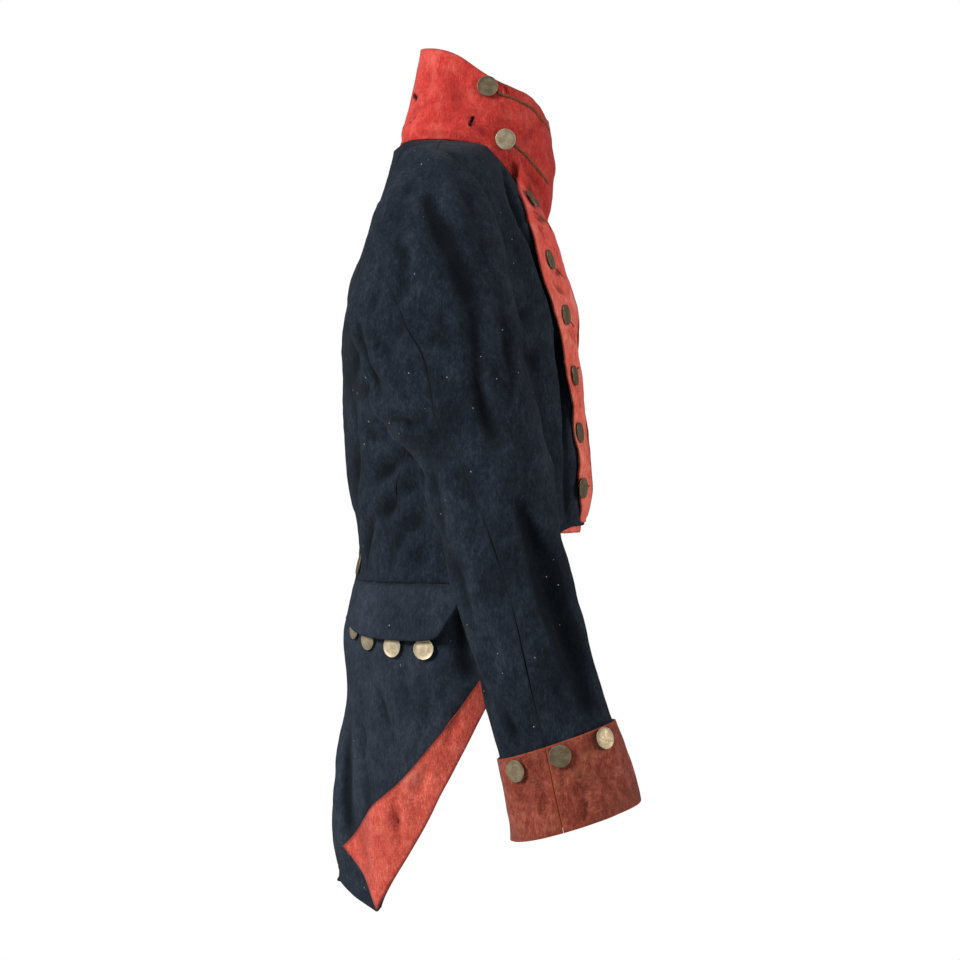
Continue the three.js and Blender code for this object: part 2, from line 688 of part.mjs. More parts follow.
function sleevePiece(upper) {
  return (u, v) => {
    const row = v * SLEEVE_END_ROW;
    const hind = smooth(SLEEVE_SEAMS, "row", "hind", row);
    const fore = smooth(SLEEVE_SEAMS, "row", "fore", row);
    const round = upper
      ? lerp(fore + SLEEVE_SEAM_EDGE, hind - SLEEVE_SEAM_EDGE, u)
      : lerp(hind + SLEEVE_SEAM_EDGE, fore + 360 - SLEEVE_SEAM_EDGE, u);
    return sleeve(round, row);
  };
}
const sleeveRows = [
  0, 0.5, 1, 1.6, 2.2, 2.9, 3.6, 4.4, 5.2, 6, 6.6, 7.2, 8, 8.8, 9.6, 10.3, 11, 11.7, 12.5, 13.5,
  14.6, 15.6, 16.5, 17.3, 18.1, SLEEVE_END_ROW,
].map((row) => row / SLEEVE_END_ROW);

// Cuff: a round cuff turned up over the end of the sleeve, open along the hind seam.
function cuffSurface(u, v) {
  const row = lerp(CUFF_TOP_ROW, CUFF_FOOT_ROW, v);
  const hind = smooth(SLEEVE_SEAMS, "row", "hind", row);
  return sleeve(lerp(hind + CUFF_EDGE, hind + 360 - CUFF_EDGE, u), row);
}
const cuffFlare = (u, v) => CUFF_LAID_ON + 1.6 * v * v;

// Plain disc button with a slightly raised face.
function button(surface, u, v, stand, side, inside) {
  const step = 1e-3;
  const p = surface(u, v);
  const across = surface(Math.min(u + step, 1), v).sub(surface(Math.max(u - step, 0), v));
  const along = surface(u, Math.min(v + step, 1)).sub(surface(u, Math.max(v - step, 0)));
  const n = across.cross(along).normalize();
  if (n.dot(p.clone().sub(inside)) < 0) n.negate();
  p.addScaledVector(n, stand + BUTTON_GAP);
  p.x *= side;
  n.x *= side;
  const profile = [
    new THREE.Vector2(0, 0),
    new THREE.Vector2(BUTTON_RADIUS, 0),
    new THREE.Vector2(BUTTON_RADIUS, BUTTON_THICK),
    new THREE.Vector2(0, BUTTON_THICK + BUTTON_CROWN),
  ];
  const disc = new THREE.LatheGeometry(profile, 16);
  const turn = new THREE.Quaternion().setFromUnitVectors(new THREE.Vector3(0, 1, 0), n);
  disc.applyQuaternion(turn);
  disc.translate(p.x, p.y, p.z);
  return disc;
}

// Nearest place of a surface to a point seen from the side.
function placeAt(surface, y, z, fromU, toU) {
  let best = { u: 0.5, v: 0.5, far: Infinity };
  let spanU = (toU - fromU) / 2;
  let spanV = 0.5;
  let middle = { u: (fromU + toU) / 2, v: 0.5 };
  for (let pass = 0; pass < 7; pass++) {
    for (let i = -6; i <= 6; i++) {
      for (let j = -6; j <= 6; j++) {
        const u = clamp(middle.u + (spanU * i) / 6, fromU, toU);
        const v = clamp(middle.v + (spanV * j) / 6, 0, 1);
        const p = surface(u, v);
        const far = Math.hypot(p.y - y, p.z - z);
        if (far < best.far) best = { u, v, far };
      }
    }
    middle = best;
    spanU /= 3;
    spanV /= 3;
  }
  return best;
}

// Places of the buttons, seen from the side.
const COLLAR_BUTTONS = [
  { y: -22.3, z: 55.5 },
  { y: -39.5, z: 3.7 },
];
const LAPEL_BUTTONS = [
  { y: -62, z: -57.6 },
  { y: -80, z: -116 },
  { y: -95.7, z: -168.5 },
  { y: -104.5, z: -228 },
  { y: -109.4, z: -284 },
  { y: -112.3, z: -337.8 },
];
const CUFF_BUTTONS = [
  { y: -50, z: -594.6 },
  { y: -87.5, z: -580.4 },
  { y: -126, z: -566 },
];
const FLAP_BUTTONS = [
  { at: 142.5, z: -474.5 },
  { at: 130, z: -483.5 },
  { at: 116.5, z: -489 },
  { at: 104, z: -490.5 },
];
const HIP_BUTTON = { at: 163, z: -414 };

for (const [side, name] of [[-1, "right"], [1, "left"]]) {
  add("front_" + name, wall(frontSurface, 14, 20, -CLOTH, 0, chest, side, panel), NAVY);
  add("back_" + name, wall(backSurface, 9, 20, -CLOTH, 0, chest, side, panel), NAVY);
  add(
    "lapel_" + name,
    wall(lapelSurface, 6, 17, lapelStand, (u, v) => lapelStand(u, v) + FACING, chest, side),
    SCARLET,
  );
  add(
    "hem_facing_" + name,
    wall(hemFacingSurface, 6, 2, -CLOTH - LAID_ON - FACING, -CLOTH - LAID_ON, chest, side),
    SCARLET,
  );
  const hips = new THREE.Vector3(0, 0, -560);
  const tailTop = new THREE.Vector3(0, 0, -480);
  add("tail_" + name, wall(tailSurface, 11, 18, -CLOTH, 0, hips, side), NAVY);
  add(
    "turnback_" + name,
    wall(turnbackSurface, 5, 15, TURNBACK_LAID_ON, TURNBACK_LAID_ON + FACING, hips, side),
    FADED,
  );
  add("pocket_flap_" + name, wall(flapSurface, 12, 3, flapIn, flapOut, tailTop, side), NAVY);
  const arm = new THREE.Vector3(228, 8, -262);
  add(
    "sleeve_upper_" + name,
    wall(sleevePiece(true), 10, 25, -CLOTH, 0, arm, side, { v: sleeveRows }),
    NAVY,
  );
  add(
    "sleeve_under_" + name,
    wall(sleevePiece(false), 10, 25, -CLOTH, 0, arm, side, { v: sleeveRows }),
    NAVY,
  );
  const wrist = new THREE.Vector3(232, -95, -605);
  add(
    "cuff_" + name,
    wall(cuffSurface, 22, 4, cuffFlare, (u, v) => cuffFlare(u, v) + FACING, wrist, side),
    FADED,
  );
  COLLAR_BUTTONS.forEach((at, i) => {
    const place = placeAt(collarSurface, at.y, at.z, 0.05, 0.45);
    const disc = button(collarSurface, place.u, place.v, 0, side, new THREE.Vector3(0, -10, 30));
    add("button_collar_" + name + "_" + (i + 1), disc, METAL);
  });
  LAPEL_BUTTONS.forEach((at, i) => {
    const place = placeAt(lapelSurface, at.y, at.z, 0.3, 0.95);
    const disc = button(lapelSurface, place.u, place.v, lapelStand(0, place.v) + FACING, side, chest);
    add("button_lapel_" + name + "_" + (i + 1), disc, METAL);
  });
  CUFF_BUTTONS.forEach((at, i) => {
    const outer = (u, v) => cuffSurface((u + 0.7) % 1, v);
    const place = placeAt(outer, at.y, at.z, 0.05, 0.52);
    const stand = cuffFlare(place.u, place.v) + FACING;
    const disc = button(outer, place.u, place.v, stand + 0.4, side, wrist);
    add("button_cuff_" + name + "_" + (i + 1), disc, METAL);
  });
  FLAP_BUTTONS.forEach((at, i) => {
    const spot = (u, v) => body(at.at + 20 * (u - 0.5), at.z + 20 * (v - 0.5));
    const disc = button(spot, 0.5, 0.5, 0, side, hips);
    add("button_flap_" + name + "_" + (i + 1), disc, METAL);
  });
  const hipSpot = (u, v) => body(HIP_BUTTON.at + 20 * (u - 0.5), HIP_BUTTON.z + 20 * (v - 0.5));
  add("button_hip_" + name, button(hipSpot, 0.5, 0.5, 1.4, side, chest), METAL);
}

export default coatee;
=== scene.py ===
# Military coatee of navy broadcloth with scarlet facings, as worn, seen from the wearer's right.
# Metres. +Z is up, the front of the coat faces -Y and the wearer's right side is -X.
import math
import random

import bmesh
import bpy
import numpy as np
from mathutils import Matrix, Vector
from mathutils.bvhtree import BVHTree
from mathutils.kdtree import KDTree


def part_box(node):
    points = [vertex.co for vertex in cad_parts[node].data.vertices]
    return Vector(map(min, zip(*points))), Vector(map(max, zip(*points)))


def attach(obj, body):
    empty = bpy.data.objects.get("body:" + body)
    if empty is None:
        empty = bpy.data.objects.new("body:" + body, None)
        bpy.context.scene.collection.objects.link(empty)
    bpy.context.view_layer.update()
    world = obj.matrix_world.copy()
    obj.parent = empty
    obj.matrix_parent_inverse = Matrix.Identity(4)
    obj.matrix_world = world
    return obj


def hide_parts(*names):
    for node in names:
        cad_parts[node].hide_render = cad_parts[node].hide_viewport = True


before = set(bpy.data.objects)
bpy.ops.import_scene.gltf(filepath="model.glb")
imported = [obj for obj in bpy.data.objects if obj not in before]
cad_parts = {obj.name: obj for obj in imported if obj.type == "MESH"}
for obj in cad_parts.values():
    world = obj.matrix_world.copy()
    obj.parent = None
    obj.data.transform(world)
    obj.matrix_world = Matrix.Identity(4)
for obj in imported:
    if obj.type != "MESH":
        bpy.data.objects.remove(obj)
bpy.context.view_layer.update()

# Camera and studio.
# A level camera three metres off the wearer's right side, a pale floor well below, and soft
# light from both sides, the stronger one from behind the wearer.
EYE = Vector((-3.0, -0.015, -0.330))
MM = 0.001
# One pixel of the photograph is 1 mm in the middle of the coat.
PHOTO_WIDE = 0.960
PHOTO_MIDDLE = 480
SENSOR_WIDE = 36
FLOOR_HEIGHT = -1.36
FLOOR_RADIUS = 3.1

camera_data = bpy.data.cameras.new("camera")
camera_data.sensor_width = SENSOR_WIDE
camera_data.lens = SENSOR_WIDE * -EYE.x / PHOTO_WIDE
camera = bpy.data.objects.new("camera", camera_data)
camera.location = EYE
camera.rotation_euler = (math.radians(90), 0, math.radians(-90))
bpy.context.scene.collection.objects.link(camera)
bpy.context.scene.camera = camera

scene = bpy.context.scene
scene.view_settings.view_transform = "Standard"
scene.view_settings.look = "None"

bpy.ops.object.select_all(action="DESELECT")
bpy.ops.mesh.primitive_circle_add(
    vertices=96, radius=FLOOR_RADIUS, fill_type="NGON", location=(0, 0, FLOOR_HEIGHT)
)
floor = bpy.context.object
floor.name = "studio_floor"
bpy.ops.object.transform_apply(location=True)
paper = bpy.data.materials.new("studio_paper")
paper.use_nodes = True
paper_face = paper.node_tree.nodes["Principled BSDF"]
paper_face.inputs["Base Color"].default_value = (0.80, 0.80, 0.79, 1)
paper_face.inputs["Roughness"].default_value = 0.9
paper_face.inputs["Specular IOR Level"].default_value = 0.1
floor.data.materials.append(paper)

# The room is white where it is seen, and gives only a little of its light to the cloth.
world = bpy.data.worlds.new("studio")
world.use_nodes = True
room = world.node_tree
seen = room.nodes.new("ShaderNodeLightPath")
strength = room.nodes.new("ShaderNodeMapRange")
strength.inputs["To Min"].default_value = 0.06
strength.inputs["To Max"].default_value = 1.0
room.links.new(seen.outputs["Is Camera Ray"], strength.inputs["Value"])
room.links.new(strength.outputs[0], room.nodes["Background"].inputs["Strength"])
room.nodes["Background"].inputs["Color"].default_value = (1, 1, 1, 1)
scene.world = world


def soft_light(name, place, aim, size, watts):
    """A soft box at a place, turned to what it lights."""
    data = bpy.data.lights.new(name, "AREA")
    data.shape = "RECTANGLE"
    data.size = size
    data.size_y = size * 1.3
    data.energy = watts
    lamp = bpy.data.objects.new(name, data)
    lamp.location = place
    lamp.rotation_euler = (Vector(aim) - Vector(place)).to_track_quat("-Z", "Y").to_euler()
    scene.collection.objects.link(lamp)


soft_light("key", (-1.6, 2.6, 1.1), (-0.1, 0, -0.35), 0.8, 158)
soft_light("fill", (-1.1, -3.0, 0.4), (-0.1, 0, -0.35), 1.2, 74)
soft_light("above", (-0.9, 0.3, 2.3), (0, 0, -0.3), 0.9, 40)

# Collar.
# A tall standing collar of scarlet broadcloth, sewn into the neckline and meeting close in
# front. Every cloth piece is a thin shell on its node's form with its folds pressed in.
CLOTH = 2 * MM
SIDES = (("right", False), ("left", True))
# How far, in mm, an edge reaches towards the next piece at a seam, and in under it where tucked.
SEAM_REACH = 0.14
TUCKED_REACH = 1.3
# The least likeness of direction between two faces next to each other on one side of the wall.
SMOOTH_TURN = 0.7
CRINKLED_TURN = 0.1
SHARP_CORNER = -0.86


def outer_face(node, inside, rim=False, tucked=None):
    """The outer face of a node's cloth wall, as a new object of quads.

    With rim, faces with a side as long as the cloth is thick are the wall's rim and are left
    out. Edge points that tucked() picks reach in under the next piece.
    """
    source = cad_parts[node]
    shell = bmesh.new()
    shell.from_mesh(source.data)
    bmesh.ops.remove_doubles(shell, verts=shell.verts, dist=2e-5)
    shell.normal_update()
    inside = Vector(inside)

    def outward(face):
        return face.normal.dot((face.calc_center_median() - inside).normalized())

    def narrow(face):
        return rim and any(abs(e.calc_length() - CLOTH) < 0.04 * MM for e in face.edges)

    turn = CRINKLED_TURN if rim else SMOOTH_TURN
    first = max(shell.faces, key=lambda f: outward(f) + 20 * math.sqrt(f.calc_area()))
    kept = {first}
    reached = [first]
    while reached:
        face = reached.pop()
        for edge in face.edges:
            for other in edge.link_faces:
                if other in kept or narrow(other):
                    continue
                if face.normal.dot(other.normal) > turn:
                    kept.add(other)
                    reached.append(other)
    rest = [f for f in shell.faces if f not in kept]
    bmesh.ops.delete(shell, geom=rest, context="FACES")
    bmesh.ops.join_triangles(
        shell, faces=shell.faces, angle_face_threshold=1.2, angle_shape_threshold=3.1
    )
    # Each edge reaches almost to its neighbour's, so that a seam shows as a fine line.
    reach = {}
    for vert in shell.verts:
        if vert.is_boundary:
            inner = sum((f.calc_center_median() for f in vert.link_faces), Vector())
            reach[vert] = (vert.co - inner / len(vert.link_faces)).normalized()
    for vert, way in reach.items():
        vert.co += way * (TUCKED_REACH if tucked and tucked(vert.co) else SEAM_REACH) * MM
    corner = shell.verts.layers.float.new("crease_vert")
    for vert in shell.verts:
        border = [e for e in vert.link_edges if e.is_boundary]
        if len(border) == 2:
            ways = [(e.other_vert(vert).co - vert.co).normalized() for e in border]
            if ways[0].dot(ways[1]) > SHARP_CORNER:
                vert[corner] = 1.0
    mesh = bpy.data.meshes.new(node + "_cloth")
    shell.to_mesh(mesh)
    shell.free()
    piece = bpy.data.objects.new(node + "_cloth", mesh)
    scene.collection.objects.link(piece)
    return piece


def work_on(piece):
    """Selects one piece only."""
    bpy.ops.object.select_all(action="DESELECT")
    piece.select_set(True)
    bpy.context.view_layer.objects.active = piece


def apply_modifier(piece, kind, **settings):
    """Adds a modifier with its settings and applies it."""
    step = piece.modifiers.new(kind.lower(), kind)
    for name, value in settings.items():
        setattr(step, name, value)
    work_on(piece)
    bpy.ops.object.modifier_apply(modifier=step.name)


def finer(piece, times):
    """Smooths a piece into smaller faces, a number of times."""
    apply_modifier(
        piece, "SUBSURF", levels=times, render_levels=times, boundary_smooth="PRESERVE_CORNERS"
    )


def tree_of(piece):
    """A search tree of a piece's faces, for finding where a line meets it."""
    mesh = piece.data
    return BVHTree.FromPolygons(
        [v.co for v in mesh.vertices], [p.vertices for p in mesh.polygons]
    )


def nearest_hit(start, way, trees):
    """Where a ray first meets one of the pieces, or None."""
    hits = [tree.ray_cast(start, way) for tree in trees]
    hits = [h for h in hits if h[0] is not None]
    return min(hits, key=lambda h: h[3])[0] if hits else None


def between(stops, step):
    """Stops of a line, with more points between them."""
    line = []
    for a, b in zip(stops, stops[1:]):
        count = max(1, round(math.dist(a, b) / step))
        line += [[a[k] + (b[k] - a[k]) * i / count for k in range(2)] for i in range(count)]
    return line + [list(stops[-1])]


def from_side(pixels, trees, left=False, shift=(0, 0)):
    """Line on the cloth under pixels of the camera's view, or of the same view from the left."""
    turn = -1 if left else 1
    eye = Vector((EYE.x * turn, EYE.y, EYE.z))
    line = []
    for across, down in between(pixels, 7):
        out = EYE.y - (across + shift[0] - PHOTO_MIDDLE) * MM
        up = EYE.z - (down + shift[1] - PHOTO_MIDDLE) * MM
        ahead = Vector((0, out, up))
        hit = nearest_hit(eye, (ahead - eye).normalized(), trees)
        if hit:
            line.append(hit)
    return line


def from_front(places, trees, back=False):
    """Line on the cloth under places of the front view, or of the back view, in mm."""
    turn = 1 if back else -1
    line = []
    for out, up in between(places, 8):
        hit = nearest_hit(Vector((out * MM, turn, up * MM)), Vector((0, -turn, 0)), trees)
        if hit:
            line.append(hit)
    return line


def fold(line, deep, wide, before=0.0, after=0.0, ends=0.6):
    """A crease: how deep and wide its trough is, and the ridges on its two sides, in mm."""
    return {
        "line": line, "deep": deep, "wide": wide, "before": before, "after": after, "ends": ends
    }


# A crease's ridges lie this many breadths from its middle, and are this much wider than it.
RIDGE_PLACE = 1.9
RIDGE_BREADTH = 1.25


def pressed(points, normals, folds):
    """How far each point is pushed out by the folds, in metres."""
    push = np.zeros(len(points))
    for number, crease in enumerate(folds):
        if len(crease["line"]) < 2:
            continue
        line = np.array([tuple(p) for p in crease["line"]])
        wide = crease["wide"] * MM
        reach = 5 * wide
        low, high = line.min(axis=0) - reach, line.max(axis=0) + reach
        near = np.nonzero(((points > low) & (points < high)).all(axis=1))[0]
        if not len(near):
            continue
        place = points[near]
        start, run = line[:-1], np.diff(line, axis=0)
        length = np.linalg.norm(run, axis=1)
        way = run / length[:, None]
        far = place[:, None, :] - start[None]
        share = np.clip((far * way).sum(axis=2), 0, length)
        off = far - share[:, :, None] * way
        gap = np.linalg.norm(off, axis=2)
        pick = gap.argmin(axis=1)
        row = np.arange(len(near))
        gap = gap[row, pick]
        before_this = np.concatenate([[0], np.cumsum(length)[:-1]])
        along = (before_this[pick] + share[row, pick]) / length.sum()
        side = np.sign((np.cross(normals[near], way[pick]) * off[row, pick]).sum(axis=1))
        signed = gap * side
        # A fold is nowhere quite even: its strength and breadth change along it.
        uneven = 1 + 0.22 * np.sin(7.3 * along + number) + 0.1 * np.sin(17 * along + 2.1 * number)
        breadth = wide * (0.85 + 0.3 * np.sin(2.4 * along + 1.7 * number) ** 2)
        strength = uneven * np.clip(np.sin(np.pi * along), 0, 1) ** crease["ends"]
        shape = -crease["deep"] * np.exp(-((gap / breadth) ** 2))
        for height, middle in ((crease["before"], -RIDGE_PLACE), (crease["after"], RIDGE_PLACE)):
            off_ridge = (signed - middle * breadth) / (RIDGE_BREADTH * breadth)
            shape += height * np.exp(-(off_ridge**2))
        push[near] += strength * shape * MM
    return push


# Waves laid over each other in a rolling surface, and the height that brings them to about 1.
ROLL_WAVES = 14
ROLL_HEIGHT = 5.3


def rolling(points, size, seed):
    """Soft waves over the cloth, about -1 to 1, of a given size in mm."""
    chance = np.random.default_rng(seed)
    total = np.zeros(len(points))
    for _ in range(ROLL_WAVES):
        way = chance.normal(size=3)
        way /= np.linalg.norm(way)
        turn = 2 * math.pi / (size * MM * chance.uniform(0.75, 1.6))
        total += np.sin(points @ (way * turn) + chance.uniform(0, 2 * math.pi))
    return total / ROLL_HEIGHT


def coordinates(piece):
    """The points of a piece and the normals at them, one row each."""
    mesh = piece.data
    points = np.empty(len(mesh.vertices) * 3)
    mesh.vertices.foreach_get("co", points)
    normals = np.empty(len(mesh.vertices) * 3)
    mesh.vertices.foreach_get("normal", normals)
    return points.reshape(-1, 3), normals.reshape(-1, 3)


def edge_distance(piece, points, kept=None):
    """Distance from each point to the piece's edge, or to the part of it that kept() picks."""
    uses = {}
    for face in piece.data.polygons:
        for key in face.edge_keys:
            uses[key] = uses.get(key, 0) + 1
    rim = sorted({v for key, count in uses.items() if count == 1 for v in key})
    if kept:
        rim = [v for v in rim if kept(points[v])]
    tree = KDTree(max(len(rim), 1))
    for i, v in enumerate(rim):
        tree.insert(points[v], i)
    tree.balance()
    return np.array([tree.find(p)[2] for p in points]) if rim else np.full(len(points), 1.0)


# Cloth is held flat within this many mm of a button's middle, and free after so many more.
BUTTON_HELD = 10
BUTTON_EASED = 14
button_middles = np.array(
    [
        [(low + high) / 2 for low, high in zip(*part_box(name))]
        for name in sorted(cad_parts)
        if name.startswith("button_")
    ]
)


def by_buttons(points):
    """0 under a button, where the cloth is held flat, rising to 1 away from it."""
    gap = np.linalg.norm(points[:, None, :] - button_middles[None], axis=2).min(axis=1)
    share = np.clip((gap / MM - BUTTON_HELD) / BUTTON_EASED, 0, 1)
    return share * share * (3 - 2 * share)


def set_values(piece, name, values):
    """Keeps a value for each point of a piece, for its material to read."""
    held = piece.data.attributes.new(name, "FLOAT", "POINT")
    held.data.foreach_set("value", np.asarray(values, dtype=np.float32))


# All in mm. A seam's groove and the puckers beside it fade over the first two, a loose edge's
# waves over the next, and every fold fades out this near to an armhole.
GROOVE_FADES = 2.4
PUCKER_FADES = 9
LOOSE_FADES = 22
CALM_FROM = 26
PUCKER_HIGH = 0.45
PUCKER_SIZE = 13
LOOSE_SIZE = 42
# Depths in mm at which a trough's painted shade begins and is darkest, and a ridge is palest.
TROUGH_BEGINS = 0.5
TROUGH_DARKENS = 3.8
RIDGE_PALEST = 3


def press(
    piece, folds, rolls, seam=None, seam_deep=0.5, loose=None, loose_wave=0.0, seed=1,
    edge_wide=1.5, worn=None, calm=None,
):
    """Pushes the folds, soft waves and seams of a piece into its face.

    seam, loose, worn and calm pick edge points: those sewn down, those left free, those whose
    edge shows another tint, and those near which the cloth keeps its own form.
    """
    points, normals = coordinates(piece)
    push = pressed(points, normals, folds)
    for size, height in rolls:
        push += rolling(points, size, int(size)) * height * MM
    push *= by_buttons(points)
    if calm:
        push *= np.clip(edge_distance(piece, points, calm) / (CALM_FROM * MM), 0, 1) ** 1.5
    edge = edge_distance(piece, points)
    sewn = edge_distance(piece, points, seam) if seam else edge
    push -= seam_deep * MM * np.exp(-((sewn / (GROOVE_FADES * MM)) ** 2))
    pucker = PUCKER_HIGH * MM * rolling(points, PUCKER_SIZE, 40 + seed)
    push += pucker * np.exp(-sewn / (PUCKER_FADES * MM)) * by_buttons(points)
    if loose:
        free = edge_distance(piece, points, loose)
        wave = loose_wave * MM * rolling(points, LOOSE_SIZE, 90 + seed)
        push += wave * np.exp(-free / (LOOSE_FADES * MM))
    points += normals * push[:, None]
    piece.data.vertices.foreach_set("co", points.ravel())
    piece.data.update()
    shown = edge_distance(piece, points, worn) if worn else edge
    set_values(piece, "edge", np.exp(-((shown / (edge_wide * MM)) ** 2)))
    # How far a point is pressed in gives the painted shade of creases in the material.
    dark = (-push - TROUGH_BEGINS * MM) / (TROUGH_DARKENS * MM)
    set_values(piece, "trough", np.clip(dark, 0, 1))
    set_values(piece, "ridge", np.clip(push / (RIDGE_PALEST * MM), 0, 1))


def thicken(piece, soft_edge=0.45):
    """Gives a face the cloth's thickness, inwards, and softens its edges by soft_edge mm."""
    apply_modifier(piece, "SOLIDIFY", thickness=CLOTH, offset=-1, use_even_offset=False)
    apply_modifier(
        piece, "BEVEL", width=soft_edge * MM, segments=1, limit_method="ANGLE",
        angle_limit=math.radians(55),
    )
    for face in piece.data.polygons:
        face.use_smooth = True


def group_with(name, outputs, inputs=()):
    """A new shader group with its own inputs and outputs."""
    group = bpy.data.node_groups.new(name, "ShaderNodeTree")
    for label, value in inputs:
        socket = group.interface.new_socket(label, in_out="INPUT", socket_type="NodeSocketFloat")
        socket.default_value = value
    for label, kind in outputs:
        group.interface.new_socket(label, in_out="OUTPUT", socket_type=kind)
    return group, group.nodes.new("NodeGroupInput"), group.nodes.new("NodeGroupOutput")


def node(tree, kind, links=(), **values):
    """A node with its plain values set and its inputs linked."""
    made = tree.nodes.new(kind)
    for key, value in values.items():
        setattr(made, key, value)
    for socket, source in links:
        if isinstance(source, bpy.types.NodeSocket):
            tree.links.new(source, made.inputs[socket])
        else:
            made.inputs[socket].default_value = source
    return made


def noise(tree, where, size, detail=2.0, rough=0.5, stretch=None):
    """Noise whose patches are about size mm."""
    place = where
    if stretch:
        scaled = node(tree, "ShaderNodeVectorMath", [(0, where), (1, stretch)], operation="MULTIPLY")
        place = scaled.outputs[0]
    made = node(
        tree,
        "ShaderNodeTexNoise",
        [("Vector", place), ("Scale", 1000 / size), ("Detail", detail), ("Roughness", rough)],
    )
    return made.outputs["Fac"]


def ramp(tree, value, low, high):
    """Rises from 0 at low to 1 at high."""
    made = node(
        tree,
        "ShaderNodeMapRange",
        [("Value", value), ("From Min", low), ("From Max", high)],
        interpolation_type="SMOOTHSTEP",
    )
    return made.outputs[0]


def sums(tree, operation, a, b):
    """A sum, product or the like of two values."""
    return node(tree, "ShaderNodeMath", [(0, a), (1, b)], operation=operation).outputs[0]


# Napped broadcloth: fulled wool whose fibres lie down the cloth, slightly mottled.
nap, nap_in, nap_out = group_with(
    "wool_nap", [("Shade", "NodeSocketFloat"), ("Height", "NodeSocketFloat")], [("Rub", 0.5)]
)
where = node(nap, "ShaderNodeTexCoord").outputs["Object"]
fibres = noise(nap, where, 1.6, 3.0, 0.65, (1.0, 1.0, 0.4))
tufts = noise(nap, where, 4.5, 3.0, 0.6, (1.0, 1.0, 0.5))
cloudy = noise(nap, where, 42, 3.0, 0.6)
threads = noise(nap, where, 0.9, 1.0, 0.5, (0.25, 0.25, 1.0))
grain = sums(nap, "ADD", sums(nap, "MULTIPLY", fibres, 0.4), sums(nap, "MULTIPLY", tufts, 0.3))
shade = sums(nap, "ADD", grain, sums(nap, "MULTIPLY", cloudy, 0.3))
nap.links.new(shade, nap_out.inputs["Shade"])
worn = sums(nap, "MULTIPLY", threads, nap_in.outputs["Rub"])
height = sums(nap, "ADD", sums(nap, "MULTIPLY", fibres, 0.7), worn)
nap.links.new(height, nap_out.inputs["Height"])

# Lint: pale flecks and short stray hairs caught in the nap.
lint, lint_in, lint_out = group_with(
    "lint", [("Flecks", "NodeSocketFloat")], [("Amount", 0.3)]
)
where = node(lint, "ShaderNodeTexCoord").outputs["Object"]


def scattered(size, radius, stretch):
    """Dots of a radius, one to each cell of a size, in mm, of which Amount are kept."""
    place = node(lint, "ShaderNodeVectorMath", [(0, where), (1, stretch)], operation="MULTIPLY")
    cells = node(
        lint,
        "ShaderNodeTexVoronoi",
        [("Vector", place.outputs[0]), ("Scale", 1000 / size), ("Randomness", 1.0)],
        feature="F1",
    )
    lot = node(lint, "ShaderNodeSeparateColor", [("Color", cells.outputs["Color"])]).outputs[0]
    chosen = sums(lint, "LESS_THAN", lot, lint_in.outputs["Amount"])
    dot = sums(lint, "LESS_THAN", cells.outputs["Distance"], radius / size)
    return sums(lint, "MULTIPLY", chosen, dot)


specks = scattered(12, 0.62, (1, 1, 1))
hairs = scattered(21, 0.5, (1.0, 1.0, 0.22))
flecks_shown = sums(lint, "MAXIMUM", specks, sums(lint, "MULTIPLY", hairs, 0.45))
lint.links.new(flecks_shown, lint_out.inputs["Flecks"])

# Soil: broad blotches of brown dirt and paler rubbed places.
soil, soil_in, soil_out = group_with(
    "soil", [("Dirt", "NodeSocketFloat"), ("Faded", "NodeSocketFloat")], [("Spread", 0.5)]
)
where = node(soil, "ShaderNodeTexCoord").outputs["Object"]
blotches = noise(soil, where, 34, 5.0, 0.62)
patches = noise(soil, where, 11, 4.0, 0.6)
blotches = sums(soil, "MULTIPLY", blotches, 0.65)
mixed = sums(soil, "ADD", blotches, sums(soil, "MULTIPLY", patches, 0.35))
low = sums(soil, "SUBTRACT", 0.75, sums(soil, "MULTIPLY", soil_in.outputs["Spread"], 0.45))
soil.links.new(ramp(soil, mixed, low, sums(soil, "ADD", low, 0.2)), soil_out.inputs["Dirt"])
pale = noise(soil, where, 19, 5.0, 0.65)
soil.links.new(ramp(soil, pale, 0.5, 0.72), soil_out.inputs["Faded"])


def blend_colour(tree, share, first, second):
    """A colour part of the way from the first to the second."""
    made = node(tree, "ShaderNodeMix", data_type="RGBA")
    for index, value in ((0, share), (6, first), (7, second)):
        if isinstance(value, bpy.types.NodeSocket):
            tree.links.new(value, made.inputs[index])
        else:
            made.inputs[index].default_value = value
    return made.outputs[2]


